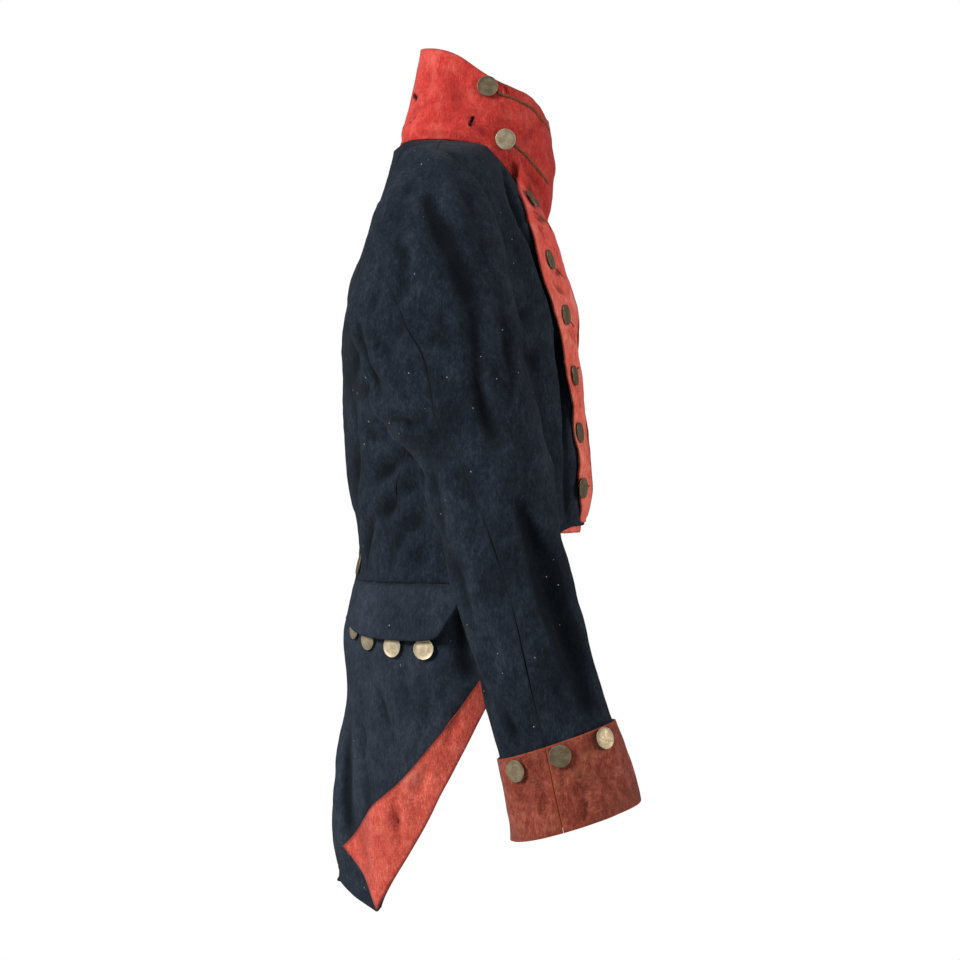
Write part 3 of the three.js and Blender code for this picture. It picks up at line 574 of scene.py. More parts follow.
def wool(
    name, dark, mid, light, deep, dirt, faded, spread, lint_amount, sheen, rub, edge_tint,
    hole=False, above=None,
):
    """Wool cloth: its shades, the colour deep in its folds, partly unfaded dye and partly painted shade,
    its dirt and faded tints, how much lint, sheen and rubbing, and the tint and heights over which it is
    less faded."""
    made = bpy.data.materials.new(name)
    made.use_nodes = True
    tree = made.node_tree
    face = tree.nodes["Principled BSDF"]
    fibre = node(tree, "ShaderNodeGroup", node_tree=nap)
    fibre.inputs["Rub"].default_value = rub
    marks = node(tree, "ShaderNodeGroup", node_tree=soil)
    marks.inputs["Spread"].default_value = spread
    flecks = node(tree, "ShaderNodeGroup", node_tree=lint)
    flecks.inputs["Amount"].default_value = lint_amount
    edge = node(tree, "ShaderNodeAttribute", attribute_name="edge").outputs["Fac"]
    trough = node(tree, "ShaderNodeAttribute", attribute_name="trough").outputs["Fac"]
    ridge = node(tree, "ShaderNodeAttribute", attribute_name="ridge").outputs["Fac"]
    shade = fibre.outputs["Shade"]
    colour = blend_colour(tree, ramp(tree, shade, 0.40, 0.5), (*dark, 1), (*mid, 1))
    colour = blend_colour(tree, ramp(tree, shade, 0.5, 0.61), colour, (*light, 1))
    if above:
        tint, low, high = above
        place = node(tree, "ShaderNodeTexCoord").outputs["Object"]
        height = node(tree, "ShaderNodeSeparateXYZ", [("Vector", place)]).outputs["Z"]
        fresh = sums(tree, "MULTIPLY", ramp(tree, height, low, high), 0.75)
        colour = blend_colour(tree, fresh, colour, (*tint, 1))
    # Faded patches show more strongly on fold ridges.
    ridge_paling = sums(tree, "ADD", sums(tree, "MULTIPLY", ridge, 0.35), 0.3)
    bleached = sums(tree, "MULTIPLY", marks.outputs["Faded"], ridge_paling)
    colour = blend_colour(tree, bleached, colour, (*faded, 1))
    grime = sums(tree, "MULTIPLY", marks.outputs["Dirt"], 0.6)
    colour = blend_colour(tree, grime, colour, (*dirt, 1))
    # Deeper troughs are mixed towards the deep colour: painted shade in the creases, with some unfaded
    # dye.
    colour = blend_colour(tree, sums(tree, "MULTIPLY", trough, 0.82), colour, (*deep, 1))
    colour = blend_colour(tree, sums(tree, "MULTIPLY", edge, 0.75), colour, (*edge_tint, 1))
    fluff = sums(tree, "MULTIPLY", flecks.outputs["Flecks"], 0.72)
    colour = blend_colour(tree, fluff, colour, (0.36, 0.34, 0.30, 1))
    if hole:
        # Holes are painted near black: painted shade for the dark seen through a hole.
        hole_shade = node(tree, "ShaderNodeAttribute", attribute_name="hole").outputs["Fac"]
        colour = blend_colour(tree, hole_shade, colour, (0.003, 0.001, 0.001, 1))
    tree.links.new(colour, face.inputs["Base Color"])
    face.inputs["Roughness"].default_value = 0.92
    face.inputs["Specular IOR Level"].default_value = 0.03
    face.inputs["Sheen Weight"].default_value = sheen
    face.inputs["Sheen Roughness"].default_value = 0.5
    bump = node(
        tree,
        "ShaderNodeBump",
        [("Height", fibre.outputs["Height"]), ("Strength", 0.8), ("Distance", 1.2 * MM)],
    )
    tree.links.new(bump.outputs["Normal"], face.inputs["Normal"])
    return made


scarlet = wool(
    "scarlet_broadcloth",
    dark=(0.29, 0.018, 0.015), mid=(0.375, 0.030, 0.024), light=(0.455, 0.055, 0.043),
    deep=(0.15, 0.007, 0.007), dirt=(0.30, 0.034, 0.026), faded=(0.56, 0.12, 0.092),
    spread=0.30, lint_amount=0.12, sheen=0.10, rub=0.35, edge_tint=(0.16, 0.040, 0.020), hole=True,
)


def finish_cloth(piece, node_name, look):
    """Gives a piece its cloth and puts it in its node's place."""
    piece.data.materials.clear()
    piece.data.materials.append(look)
    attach(piece, "root")
    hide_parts(node_name)


collar = outer_face("collar", (0, -0.010, 0.030))
finer(collar, 3)
collar_tree = [tree_of(collar)]

# The moth holes, as pixels of the photograph and a radius in mm: two eaten deep into the
# cloth, and two dots beside them.
MOTH_HOLES = [
    ([(414.0, 95.5), (416.0, 98.5)], 1.9),
    ([(472.5, 118.0), (470.5, 124.5)], 1.5),
    ([(413.0, 116.0), (413.8, 116.8)], 0.9),
    ([(409.0, 121.5), (410.0, 122.5)], 0.5),
]
HOLE_DEEP = 1.6
hole_lines = [(from_side(stops, collar_tree), radius) for stops, radius in MOTH_HOLES]


def near_holes(points, grown=0.0):
    """How much of each point is eaten, 0 to 1, by holes wider by grown mm."""
    eaten = np.zeros(len(points))
    for line, radius in hole_lines:
        start, run = np.array(line[0]), np.array(line[-1]) - np.array(line[0])
        share = np.clip((points - start) @ run / max(run @ run, 1e-9), 0, 1)
        gap = np.linalg.norm(points - start - share[:, None] * run, axis=1) / MM
        gap += 0.45 * rolling(points, 3.4, int(radius * 10))
        eaten = np.maximum(eaten, np.clip((radius + grown + 0.5 - gap) / 0.5, 0, 1))
    return eaten


eaten_mesh = bmesh.new()
eaten_mesh.from_mesh(collar.data)
for _ in range(2):
    places = np.array([tuple(v.co) for v in eaten_mesh.verts])
    close = near_holes(places, 3.2) > 0
    eaten_mesh.verts.index_update()
    edges = [e for e in eaten_mesh.edges if close[e.verts[0].index] and close[e.verts[1].index]]
    bmesh.ops.subdivide_edges(eaten_mesh, edges=edges, cuts=1, use_grid_fill=True)
eaten_mesh.to_mesh(collar.data)
eaten_mesh.free()

# Each row of a fold table: the stops of its line, how deep and wide its trough is, and the ridges
# on its two sides, in mm. The stops are pixels of the photograph, or of the same view of the left
# side, and in a table of front or back folds they are places across and up, in mm.
COLLAR_RIGHT_FOLDS = [
    ([(466, 117), (478, 129), (493, 143), (508, 158)], 1.7, 3.6, 1.7, 0.4),
    ([(459, 78), (463, 96), (472, 112), (484, 124)], 1.6, 8.5, 0.6, 0.5),
    ([(415, 131), (432, 128), (450, 131), (478, 143)], -1.1, 4, 0, -0.5),
    ([(425, 60), (429, 90), (424, 118)], 1.0, 7, 0.5, 0.3),
    ([(447, 70), (452, 95), (463, 118), (470, 126)], 1.1, 6, 0.4, 0.6),
    ([(497, 79), (505, 89), (509, 99)], 1.8, 2.2, 0.9, 0.2),
    ([(520, 150), (532, 132), (549, 120)], 1.2, 6, 0.5, 0.5),
    ([(527, 168), (540, 190), (548, 210)], 1.4, 5, 0.5, 0.7),
    ([(505, 104), (512, 122), (520, 138)], 1.0, 5, 0.4, 0.6),
]
COLLAR_LEFT_FOLDS = [
    ([(468, 125), (480, 133), (499, 149), (515, 157)], 1.3, 5, 1.1, 0.3),
    ([(418, 128), (436, 127), (455, 134), (472, 141)], -1.0, 4.5, 0, -0.4),
    ([(432, 62), (436, 88), (430, 112)], 1.1, 7, 0.4, 0.4),
    ([(455, 74), (463, 96), (470, 115)], 1.0, 6, 0.5, 0.5),
    ([(528, 150), (536, 135), (549, 126)], 1.0, 6, 0.5, 0.5),
    ([(531, 165), (541, 185), (547, 204)], 1.2, 6, 0.4, 0.6),
]
COLLAR_BACK_FOLDS = [
    ([(-30, 60), (-36, 40), (-30, 14)], 1.1, 8, 0.5, 0.5),
    ([(24, 64), (30, 36), (22, 8)], 1.2, 8, 0.5, 0.4),
    ([(-48, 22), (0, 16), (46, 22)], -0.9, 5, 0, -0.4),
]
# The folds of the collar are this much deeper than its tables say.
STIFF = 1.5
collar_folds = []
for table, draw in (
    (COLLAR_RIGHT_FOLDS, lambda stops: from_side(stops, collar_tree)),
    (COLLAR_LEFT_FOLDS, lambda stops: from_side(stops, collar_tree, True)),
    (COLLAR_BACK_FOLDS, lambda stops: from_front(stops, collar_tree, True)),
):
    for stops, deep, wide, before, after in table:
        collar_folds.append(fold(draw(stops), STIFF * deep, wide, STIFF * before, STIFF * after))
press(
    collar, collar_folds, [(60, 1.0), (24, 0.5)], seam=lambda p: p[2] < 0.035 - 0.3 * p[1],
    seam_deep=0.0, seed=1, worn=lambda p: p[2] > 0.008,
)

points, normals = coordinates(collar)
# The hole value is full in each hole and about a third in a ring round it; the material paints it near
# black as painted shade.
set_values(collar, "hole", np.clip(near_holes(points) + 0.35 * near_holes(points, 1.2), 0, 1))
points -= normals * (HOLE_DEEP * MM * near_holes(points, 0.2))[:, None]
collar.data.vertices.foreach_set("co", points.ravel())
thicken(collar)
finish_cloth(collar, "collar", scarlet)

# Buttonholes.
# Worked through the collar and the lapels in brown twist, in close stitches across the
# line of each hole. One stitch is modelled and laid again along each line.
twist = bpy.data.materials.new("brown_buttonhole_twist")
twist.use_nodes = True
twist_tree = twist.node_tree
twist_face = twist_tree.nodes["Principled BSDF"]
strands = noise(twist_tree, node(twist_tree, "ShaderNodeTexCoord").outputs["Object"], 1.3, 2.0, 0.6)
twist_shade = ramp(twist_tree, strands, 0.35, 0.65)
twist_brown = blend_colour(
    twist_tree, twist_shade, (0.130, 0.036, 0.015, 1), (0.270, 0.095, 0.042, 1)
)
twist_tree.links.new(twist_brown, twist_face.inputs["Base Color"])
twist_face.inputs["Roughness"].default_value = 0.7
twist_face.inputs["Specular IOR Level"].default_value = 0.2


# A stitch's thickness along the line and out of the cloth, and how far apart they lie, in mm.
STITCH_THICK = 1.1
STITCH_HIGH = 1.5
STITCH_APART = 0.95


def buttonhole(name, lines, cloth, left, long=4.4):
    """Stitches, long mm each, across lines on a finished piece, as one piece that goes with it."""
    trees = [tree_of(cloth)]
    chance = random.Random(name)
    grain = bmesh.new()
    bmesh.ops.create_uvsphere(grain, u_segments=6, v_segments=4, radius=0.5)
    shape = np.array([tuple(v.co) for v in grain.verts])
    loops = [[v.index for v in f.verts] for f in grain.faces]
    grain.free()
    verts, faces = [], []
    for stops in lines:
        line = from_side(between(stops, STITCH_APART), trees, left)
        for a, b in zip(line, line[1:]):
            if (b - a).length > 4 * MM:
                continue
            normal = trees[0].find_nearest(a)[1]
            along = (b - a).normalized()
            across = normal.cross(along).normalized()
            across = (across + along * chance.uniform(-0.16, 0.16)).normalized()
            long_here = long * chance.uniform(0.85, 1.15)
            size = Vector((long_here, STITCH_THICK, STITCH_HIGH)) * MM
            start = len(verts)
            for x, y, z in shape:
                raised = a + normal * (0.15 * MM + z * size.z)
                verts.append(raised + across * x * size.x + along * y * size.y)
            faces += [[start + i for i in loop] for loop in loops]
    mesh = bpy.data.meshes.new(name)
    mesh.from_pydata(verts, [], faces)
    for face in mesh.polygons:
        face.use_smooth = True
    made = bpy.data.objects.new(name, mesh)
    scene.collection.objects.link(made)
    made.data.materials.append(twist)
    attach(made, "root")
    return made


COLLAR_HOLES = [
    [(498, 93), (516, 99), (532, 108), (545, 123), (550, 131)],
    [(514, 145), (524, 153), (535, 166), (543, 176), (549, 184)],
]
collar_twist = [
    buttonhole("collar_buttonholes_" + name, COLLAR_HOLES, collar, left)
    for name, left in SIDES
]

# Fronts and backs.
# Two fronts cut away square at the waist and two backs, of navy broadcloth, joined at the
# centre back, the sides and the shoulders. The right side is laid out from the photograph.
navy = wool(
    "navy_broadcloth",
    dark=(0.0062, 0.0086, 0.0134), mid=(0.0106, 0.0146, 0.0218), light=(0.0200, 0.0264, 0.0368),
    deep=(0.0022, 0.0030, 0.0042), dirt=(0.0150, 0.0160, 0.0180), faded=(0.0215, 0.0275, 0.0365),
    spread=0.3, lint_amount=0.45, sheen=0.02, rub=0.35, edge_tint=(0.011, 0.013, 0.018),
)


def side_folds(table, trees, left, seed=0):
    """Folds of a side table. On the left each lies a little elsewhere and is more or less deep."""
    chance = random.Random(seed)
    made = []
    for stops, deep, wide, before, after in table:
        shift = (chance.uniform(-5, 5), chance.uniform(-7, 7)) if left else (0, 0)
        strong = chance.uniform(0.7, 1.15) if left else 1
        line = from_side(stops, trees, left, shift)
        made.append(fold(line, deep * strong, wide, before * strong, after * strong))
    return made


BODY_SIDE_FOLDS = [
    ([(372, 484), (392, 468), (420, 450)], 5.4, 9.1, 2.5, 2.2),
    ([(376, 516), (398, 498), (426, 476)], 5.8, 10.4, 2.9, 2.2),
    ([(364, 582), (369, 548), (377, 508)], 3.4, 7.8, 1.4, 1.4),
    ([(386, 584), (392, 560), (406, 532), (432, 510)], 4.3, 10.4, 1.8, 1.8),
    ([(408, 584), (416, 562), (432, 542)], 3.2, 9.1, 1.4, 1.4),
    ([(351, 396), (357, 440), (357, 486)], 3.2, 10.4, 1.4, 1.4),
    ([(360, 430), (378, 440), (396, 438)], 2.9, 7.8, 1.4, 1.1),
    ([(398, 152), (392, 178), (380, 206)], 2.2, 11.7, 0.7, 0.9),
    ([(530, 345), (539, 392), (549, 436)], 2.3, 9.1, 1.1, 0.9),
    ([(514, 240), (524, 276), (533, 318)], 2.0, 10.4, 0.9, 0.9),
]
BACK_FOLDS = [
    ([(-18, -422), (-26, -384), (-52, -338), (-84, -300)], 4.0, 11.7, 1.8, 1.8),
    ([(-62, -424), (-70, -392), (-98, -352)], 3.6, 10.4, 1.6, 1.4),
    ([(-112, -420), (-118, -380), (-132, -344)], 3.2, 10.4, 1.4, 1.4),
    ([(-152, -160), (-128, -196), (-92, -226)], 4.7, 11.7, 2.2, 1.8),
    ([(-156, -205), (-130, -236), (-104, -250)], 3.6, 10.4, 1.6, 1.4),
    ([(-60, -40), (-84, -84), (-92, -140)], 2.9, 15.6, 1.1, 1.1),
    ([(-22, -150), (-30, -210), (-24, -268)], 2.7, 15.6, 1.1, 1.1),
    ([(20, -420), (30, -388), (48, -350), (76, -312)], 3.6, 11.7, 1.6, 1.8),
    ([(68, -424), (80, -380), (104, -346)], 4.1, 10.4, 1.6, 1.4),
    ([(114, -418), (124, -372), (136, -350)], 2.9, 10.4, 1.3, 1.4),
    ([(154, -170), (122, -200), (96, -220)], 4.1, 11.7, 2.0, 1.8),
    ([(154, -222), (134, -246), (98, -262)], 3.8, 10.4, 1.4, 1.4),
    ([(56, -48), (78, -92), (84, -132)], 3.2, 15.6, 1.1, 1.1),
    ([(26, -160), (22, -222), (30, -280)], 2.5, 15.6, 1.1, 1.1),
]
FRONT_FOLDS = [
    ([(-166, -146), (-142, -168), (-112, -176)], 4.3, 10.4, 1.8, 1.8),
    ([(-160, -196), (-138, -212), (-108, -214)], 3.2, 10.4, 1.4, 1.4),
    ([(-118, -388), (-112, -340), (-106, -290)], 3.2, 11.7, 1.4, 1.4),
    ([(-142, -408), (-132, -368), (-130, -320)], 3.1, 11.7, 1.4, 1.3),
    ([(-140, -72), (-130, -94), (-118, -122)], 1.4, 12.0, 0.6, 0.6),
    ([(166, -150), (144, -176), (116, -182)], 4.0, 10.4, 1.8, 1.8),
    ([(158, -204), (134, -216), (106, -226)], 3.4, 10.4, 1.4, 1.4),
    ([(122, -384), (114, -330), (104, -282)], 3.4, 11.7, 1.4, 1.4),
    ([(140, -412), (136, -372), (126, -328)], 2.7, 11.7, 1.4, 1.3),
    ([(138, -70), (131, -94), (112, -116)], 1.4, 12.0, 0.6, 0.6),
]
# The fronts dip close behind the rear edge of each lapel, and the material paints the dips dark by their
# depth: painted shade, the dark band there.
BEHIND_LAPEL = [
    ([(488, 144), (500, 158), (507, 178), (515, 204), (524, 226)], 8, 8, 0, 0),
    ([(508, 190), (530, 242), (541, 272), (553, 312), (561, 352), (566, 400), (570, 450)], 6, 4.5, 0, 0),
    ([(556, 330), (563, 380), (566, 420), (568, 462), (569, 500), (570, 524)], 8, 8, 0, 0),
]
# Soft waves over the whole coat: their size and height, in mm.
ROLLS = [(100, 2.0), (42, 1.0), (19, 0.3)]


def on_side(table, left):
    """The rows of a front or back table that begin on one side of the coat."""
    return [row for row in table if (row[0][0][0] > 0) == left]


def lapel_dips(name, left):
    """The dips behind a lapel, which keep their depth almost to their ends."""
    dips = side_folds(BEHIND_LAPEL, base_trees[name], left, 5)
    for dip in dips:
        dip["ends"] = 0.3
    return dips


def at_centre_back(point):
    """True for an edge point of the centre back seam, where one back reaches under the other."""
    return abs(point[0]) < 0.003 and point[1] > 0


def at_armhole(point):
    """True for an edge point of the armhole, where body and sleeve keep one line."""
    return 0.118 < abs(point[0]) < 0.188 and point[2] > -0.142


def sewn_front(point):
    """True for an edge point of a front that is sewn down, which the loose hem isn't."""
    return not -0.425 < point[2] < -0.36


sheets = {}
base_trees = {}
body_folds = {}
for name, left in SIDES:
    for part in ("front", "back"):
        under = at_centre_back if left and part == "back" else None
        piece = outer_face(part + "_" + name, (0, 0, -0.24), tucked=under)
        finer(piece, 3)
        sheets[part + "_" + name] = piece
    trees = [tree_of(sheets["front_" + name]), tree_of(sheets["back_" + name])]
    seen = side_folds(BODY_SIDE_FOLDS, trees, left, 3)
    seen += [fold(from_front(s, trees), *rest) for s, *rest in on_side(FRONT_FOLDS, left)]
    seen += [fold(from_front(s, trees, True), *rest) for s, *rest in on_side(BACK_FOLDS, left)]
    base_trees[name] = trees
    body_folds[name] = seen

for name, left in SIDES:
    front = sheets["front_" + name]
    press(
        front, body_folds[name] + lapel_dips(name, left), ROLLS, seam=sewn_front,
        seam_deep=0.2, seed=4 + left, calm=at_armhole,
    )
    thicken(front, soft_edge=0.2)
    finish_cloth(front, "front_" + name, navy)
    back = sheets["back_" + name]
    press(back, body_folds[name], ROLLS, seam_deep=0.2, seed=6 + left, calm=at_armhole)
    thicken(back, soft_edge=0.2)
    finish_cloth(back, "back_" + name, navy)

# Lapels.
# Long scarlet lapels buttoned back flat on the fronts, peaked at the collar. The wool has
# faded, it is puckered between the buttons, and the rear edge gapes in one place.
faded_lapel = wool(
    "faded_scarlet_lapel",
    dark=(0.44, 0.052, 0.034), mid=(0.60, 0.098, 0.066), light=(0.72, 0.18, 0.125),
    deep=(0.07, 0.010, 0.006), dirt=(0.26, 0.050, 0.026), faded=(0.74, 0.29, 0.210),
    spread=0.42, lint_amount=0.2, sheen=0.10, rub=0.5, edge_tint=(0.16, 0.030, 0.016),
    above=((0.52, 0.034, 0.026), -0.19, -0.06),
)
LAPEL_FOLDS = [
    ([(517, 172), (526, 186), (541, 200)], 2.2, 4.0, 1.3, 0.7),
    ([(535, 215), (545, 239), (553, 263)], 3.2, 4.2, 1.7, 1.2),
    ([(552, 246), (558, 256), (561, 264)], 2.0, 3.0, 1.2, 0.8),
    ([(564, 300), (569, 312), (572, 324)], 1.9, 3.4, 1.0, 0.8),
    ([(531, 214), (541, 219), (556, 222)], 2.2, 3.5, 1.2, 0.7),
    ([(533, 222), (545, 236), (557, 243)], 1.3, 4.0, 0.9, 0.5),
    ([(546, 268), (557, 272), (572, 275)], 2.4, 3.5, 1.2, 0.7),
    ([(547, 276), (558, 288), (571, 298)], 2.0, 4.0, 0.9, 0.5),
    ([(562, 322), (570, 330), (577, 348)], 2.3, 4.0, 1.0, 0.5),
    ([(566, 340), (573, 352), (576, 366)], 1.3, 3.5, 0.8, 0.5),
    ([(578, 370), (583, 380), (586, 396), (587, 412)], 4.2, 2.6, 1.8, 1.2),
    ([(571, 396), (577, 404), (581, 420)], 1.4, 3.5, 0.9, 0.5),
    ([(577, 446), (584, 452), (592, 466)], 2.2, 3.5, 1.0, 0.7),
    ([(580, 498), (586, 504), (593, 506)], 1.4, 3.0, 0.9, 0.5),
]
LAPEL_STITCH = 2.6
LAPEL_HOLES = [
    [(533, 211), (541, 217), (547, 222), (551, 230)],
    [(553, 266), (559, 272), (565, 279)],
    [(569, 320), (572, 324), (574, 327)],
    [(574, 372), (577, 369), (579, 367)],
    [(580, 432), (584, 431), (587, 430)],
    [(584, 487), (588, 486), (592, 485)],
]
for name, left in SIDES:
    lapel = outer_face("lapel_" + name, (0, 0, -0.2))
    finer(lapel, 3)
    own = side_folds(LAPEL_FOLDS, [tree_of(lapel)], left, 7)
    press(
        lapel, body_folds[name] + own, ROLLS, seam_deep=0.2,
        loose=lambda p: True, loose_wave=1.3, seed=8 + left,
    )
    thicken(lapel)
    finish_cloth(lapel, "lapel_" + name, faded_lapel)
    lapel_twist = buttonhole("lapel_buttonholes_" + name, LAPEL_HOLES, lapel, left, LAPEL_STITCH)

# Hem facings.
# The front hem is faced inside with the same scarlet as the lapels, and only the lower edge
# of the strip shows under each lapel's end.
for name, left in SIDES:
    facing = outer_face("hem_facing_" + name, (0, 0, -0.39))
    finer(facing, 2)
    press(
        facing, body_folds[name] + lapel_dips(name, left), ROLLS, seam_deep=0,
        loose=lambda p: p[2] < -0.378, loose_wave=0.8, seed=9 + left,
    )
    thicken(facing)
    finish_cloth(facing, "hem_facing_" + name, faded_lapel)

# Sleeves.
# Each sleeve has an upper and an under piece, with the hind-arm seam down the outside. The
# bent arm has creased the cloth at the shoulder, the elbow and along the forearm.
SLEEVE_SIDE_FOLDS = [
    ([(425, 186), (434, 213), (446, 240), (459, 268), (471, 304)], 8.3, 11.5, 2.9, 2.2),
    ([(468, 290), (474, 322), (475, 352), (478, 384), (487, 420), (500, 456)], 5.0, 8.6, 2.0, 1.6),
    ([(499, 296), (505, 328), (510, 366), (516, 402)], 3.6, 6.1, 1.4, 1.4),
    ([(478, 334), (490, 356), (501, 384), (512, 414)], 3.0, 7.5, 1.2, 1.2),
    ([(516, 494), (538, 552), (562, 618), (580, 668), (592, 716)], 5.4, 19.0, 1.0, 0.6),
    ([(508, 474), (524, 516), (540, 558), (556, 602)], 5.4, 13.0, 2.0, 1.4),
    ([(546, 580), (562, 625), (574, 665), (589, 714)], 6.1, 12.2, 2.2, 2.2),
    ([(403, 232), (407, 262), (404, 290), (397, 310)], 4.7, 8.1, 2.2, 1.4),
    ([(386, 258), (380, 288), (370, 316)], 3.1, 8.1, 1.4, 1.4),
    ([(357, 320), (364, 350), (375, 384), (389, 416)], 5.4, 6.8, 2.7, 2.3),
    ([(380, 330), (392, 360), (411, 386)], 3.6, 8.1, 1.6, 1.6),
    ([(372, 370), (392, 392), (414, 402)], 4.1, 6.8, 1.8, 1.6),
    ([(392, 416), (410, 424), (430, 420)], 3.8, 6.8, 1.6, 1.6),
    ([(428, 466), (438, 500), (445, 538)], 3.4, 8.1, 1.4, 1.4),
    ([(452, 560), (466, 600), (479, 644)], 3.4, 8.1, 1.4, 1.4),
    ([(478, 598), (489, 640), (500, 690)], 2.7, 8.1, 1.3, 1.3),
    ([(500, 690), (508, 720), (521, 750)], 2.7, 8.1, 1.3, 1.3),
    ([(541, 640), (549, 670), (560, 702), (567, 738)], 3.2, 8.1, 1.4, 1.4),
    ([(520, 326), (532, 380), (546, 428)], 2.3, 6.1, 1.1, 1.1),
    ([(450, 168), (468, 200), (482, 240), (493, 284)], 2.9, 12.2, 1.4, 1.1),
    ([(412, 178), (404, 204), (399, 230)], 2.7, 10.8, 1.1, 1.1),
    ([(458, 466), (474, 502), (487, 544)], 2.7, 10.8, 1.3, 1.3),
    ([(436, 300), (446, 332), (450, 366)], 2.7, 10.8, 1.3, 1.3),
    ([(497, 560), (507, 600), (513, 640)], 2.3, 10.8, 1.1, 1.1),
]
# The same for the inner side of the arm, from the front and from the back, in mm.
SLEEVE_FRONT_FOLDS = [
    ([(-182, -232), (-212, -250), (-244, -252)], 3.4, 9.5, 2.2, 1.8),
    ([(-186, -292), (-210, -300), (-236, -297)], 3.8, 9.5, 2.3, 2.0),
    ([(-190, -340), (-214, -334), (-238, -340)], 3.2, 9.5, 1.8, 1.8),
    ([(-192, -396), (-214, -388), (-236, -392)], 2.4, 10.8, 1.4, 1.4),
    ([(-206, -150), (-214, -186), (-208, -222)], 3.2, 12.2, 1.4, 1.4),
    ([(-204, -460), (-214, -500), (-210, -545)], 3.1, 12.2, 1.3, 1.3),
]
SLEEVE_BACK_FOLDS = [
    ([(-190, -168), (-214, -190), (-250, -196)], 4.1, 10.8, 1.8, 1.6),
    ([(-186, -236), (-222, -246), (-262, -238)], 4.1, 9.5, 1.8, 1.8),
    ([(-190, -286), (-226, -276), (-258, -286)], 4.3, 9.5, 1.8, 1.8),
    ([(-192, -330), (-220, -322), (-256, -330)], 3.6, 9.5, 1.6, 1.6),
    ([(-214, -380), (-206, -430), (-214, -480)], 3.1, 12.2, 1.3, 1.3),
    ([(-250, -440), (-240, -500), (-250, -560)], 2.9, 12.2, 1.3, 1.3),
]


def mirrored(table, left, seed):
    """Rows of a front or back table, turned over for the left arm and moved a little."""
    chance = random.Random(seed)
    rows = []
    for stops, *rest in table:
        shift = (chance.uniform(-6, 6), chance.uniform(-8, 8)) if left else (0, 0)
        turn = -1 if left else 1
        rows.append(([(turn * x + shift[0], z + shift[1]) for x, z in stops], *rest))
    return rows


# The two pieces of a sleeve, the rectangle round each cut and the cut's own area, in metres.
SLEEVE_CUTS = {"upper": ((0.200, 0.660), 0.104), "under": ((0.200, 0.600), 0.1095)}
sleeve_folds = {}
for name, left in SIDES:
    turn = 1 if left else -1
    in_elbow = (0.228 * turn, 0.008, -0.262)
    arm = {
        part: outer_face("sleeve_" + part + "_" + name, in_elbow, tucked=at_armhole)
        for part in SLEEVE_CUTS
    }
    for piece in arm.values():
        finer(piece, 3)
    trees = [tree_of(piece) for piece in arm.values()]
    inner = mirrored(SLEEVE_FRONT_FOLDS, left, 12)
    behind = mirrored(SLEEVE_BACK_FOLDS, left, 13)
    made = side_folds(SLEEVE_SIDE_FOLDS, trees, left, 11)
    made += [fold(from_front(s, trees), *rest) for s, *rest in inner]
    made += [fold(from_front(s, trees, True), *rest) for s, *rest in behind]
    sleeve_folds[name] = made
    for part, (cut, area) in SLEEVE_CUTS.items():
        piece = arm[part]
        press(piece, made, ROLLS, seam_deep=0.15, seed=14 + left, calm=at_armhole)
        thicken(piece, soft_edge=0.2)
        finish_cloth(piece, "sleeve_" + part + "_" + name, navy)

# Cuffs.
# Round cuffs of the same scarlet, faded and soiled to a brownish orange, turned up over the
# end of the sleeve and left open along the hind-arm seam.
faded_cuff = wool(
    "faded_scarlet_broadcloth",
    dark=(0.102, 0.017, 0.011), mid=(0.172, 0.033, 0.021), light=(0.275, 0.070, 0.045),
    deep=(0.09, 0.014, 0.009), dirt=(0.12, 0.038, 0.020), faded=(0.36, 0.13, 0.080),
    spread=0.62, lint_amount=0.12, sheen=0.08, rub=0.7, edge_tint=(0.24, 0.05, 0.022),
)
CUFF_FOLDS = [
    ([(520, 785), (530, 806), (534, 832)], 2.0, 5.0, 1.0, 1.0),
    ([(562, 768), (566, 780), (562, 796)], 2.6, 3.4, 1.2, 0.9),
    ([(584, 800), (586, 812), (584, 822)], 2.4, 3.6, 1.0, 0.9),
    ([(574, 760), (583, 785), (592, 812)], 2.0, 5.0, 1.0, 0.9),
    ([(600, 760), (612, 780), (630, 796)], 1.9, 5.0, 0.7, 0.7),
    ([(536, 775), (544, 800), (548, 826)], 1.8, 5.0, 0.5, 0.5),
]
for name, left in SIDES:
    turn = 1 if left else -1
    cuff = outer_face("cuff_" + name, (0.232 * turn, -0.095, -0.605))
    finer(cuff, 3)
    own = side_folds(CUFF_FOLDS, [tree_of(cuff)], left, 15)
    press(
        cuff, sleeve_folds[name] + own, ROLLS, seam=lambda p: False, seam_deep=0,
        loose=lambda p: p[2] < -0.59, loose_wave=1.4, seed=16 + left,
    )
    thicken(cuff)
    finish_cloth(cuff, "cuff_" + name, faded_cuff)

# Tails.
# Two short tails hang from the waist seam, parted at the centre back, with soft upright
# folds. Their front edges are folded back as turnbacks of faded scarlet.
TAIL_SIDE_FOLDS = [
    ([(351, 692), (359, 730), (368, 764), (373, 800)], -1.9, 3.0, -0.6, -1.1),
    ([(371, 684), (380, 712), (390, 736), (401, 770)], -1.9, 3.0, -0.6, -1.1),
    ([(351, 652), (357, 700), (364, 760), (368, 836)], 3.3, 8.4, 1.5, 1.4),
    ([(371, 662), (382, 708), (392, 750), (398, 786)], 3.3, 8.4, 1.5, 1.4),
    ([(344, 742), (344, 800), (350, 852)], 2.4, 7.2, 1.0, 1.0),
    ([(457, 606), (461, 640), (470, 684)], 6.8, 10.5, 1.6, 1.0),
    ([(419, 655), (424, 700), (431, 744)], 2.4, 9.6, 1.2, 1.2),
    ([(400, 652), (404, 690), (412, 736)], 2.1, 9.6, 1.0, 1.0),
    ([(446, 640), (448, 676), (444, 708)], 2.4, 8.4, 1.2, 1.0),
    ([(384, 740), (380, 772), (384, 800)], 2.0, 8.4, 0.9, 0.9),
]
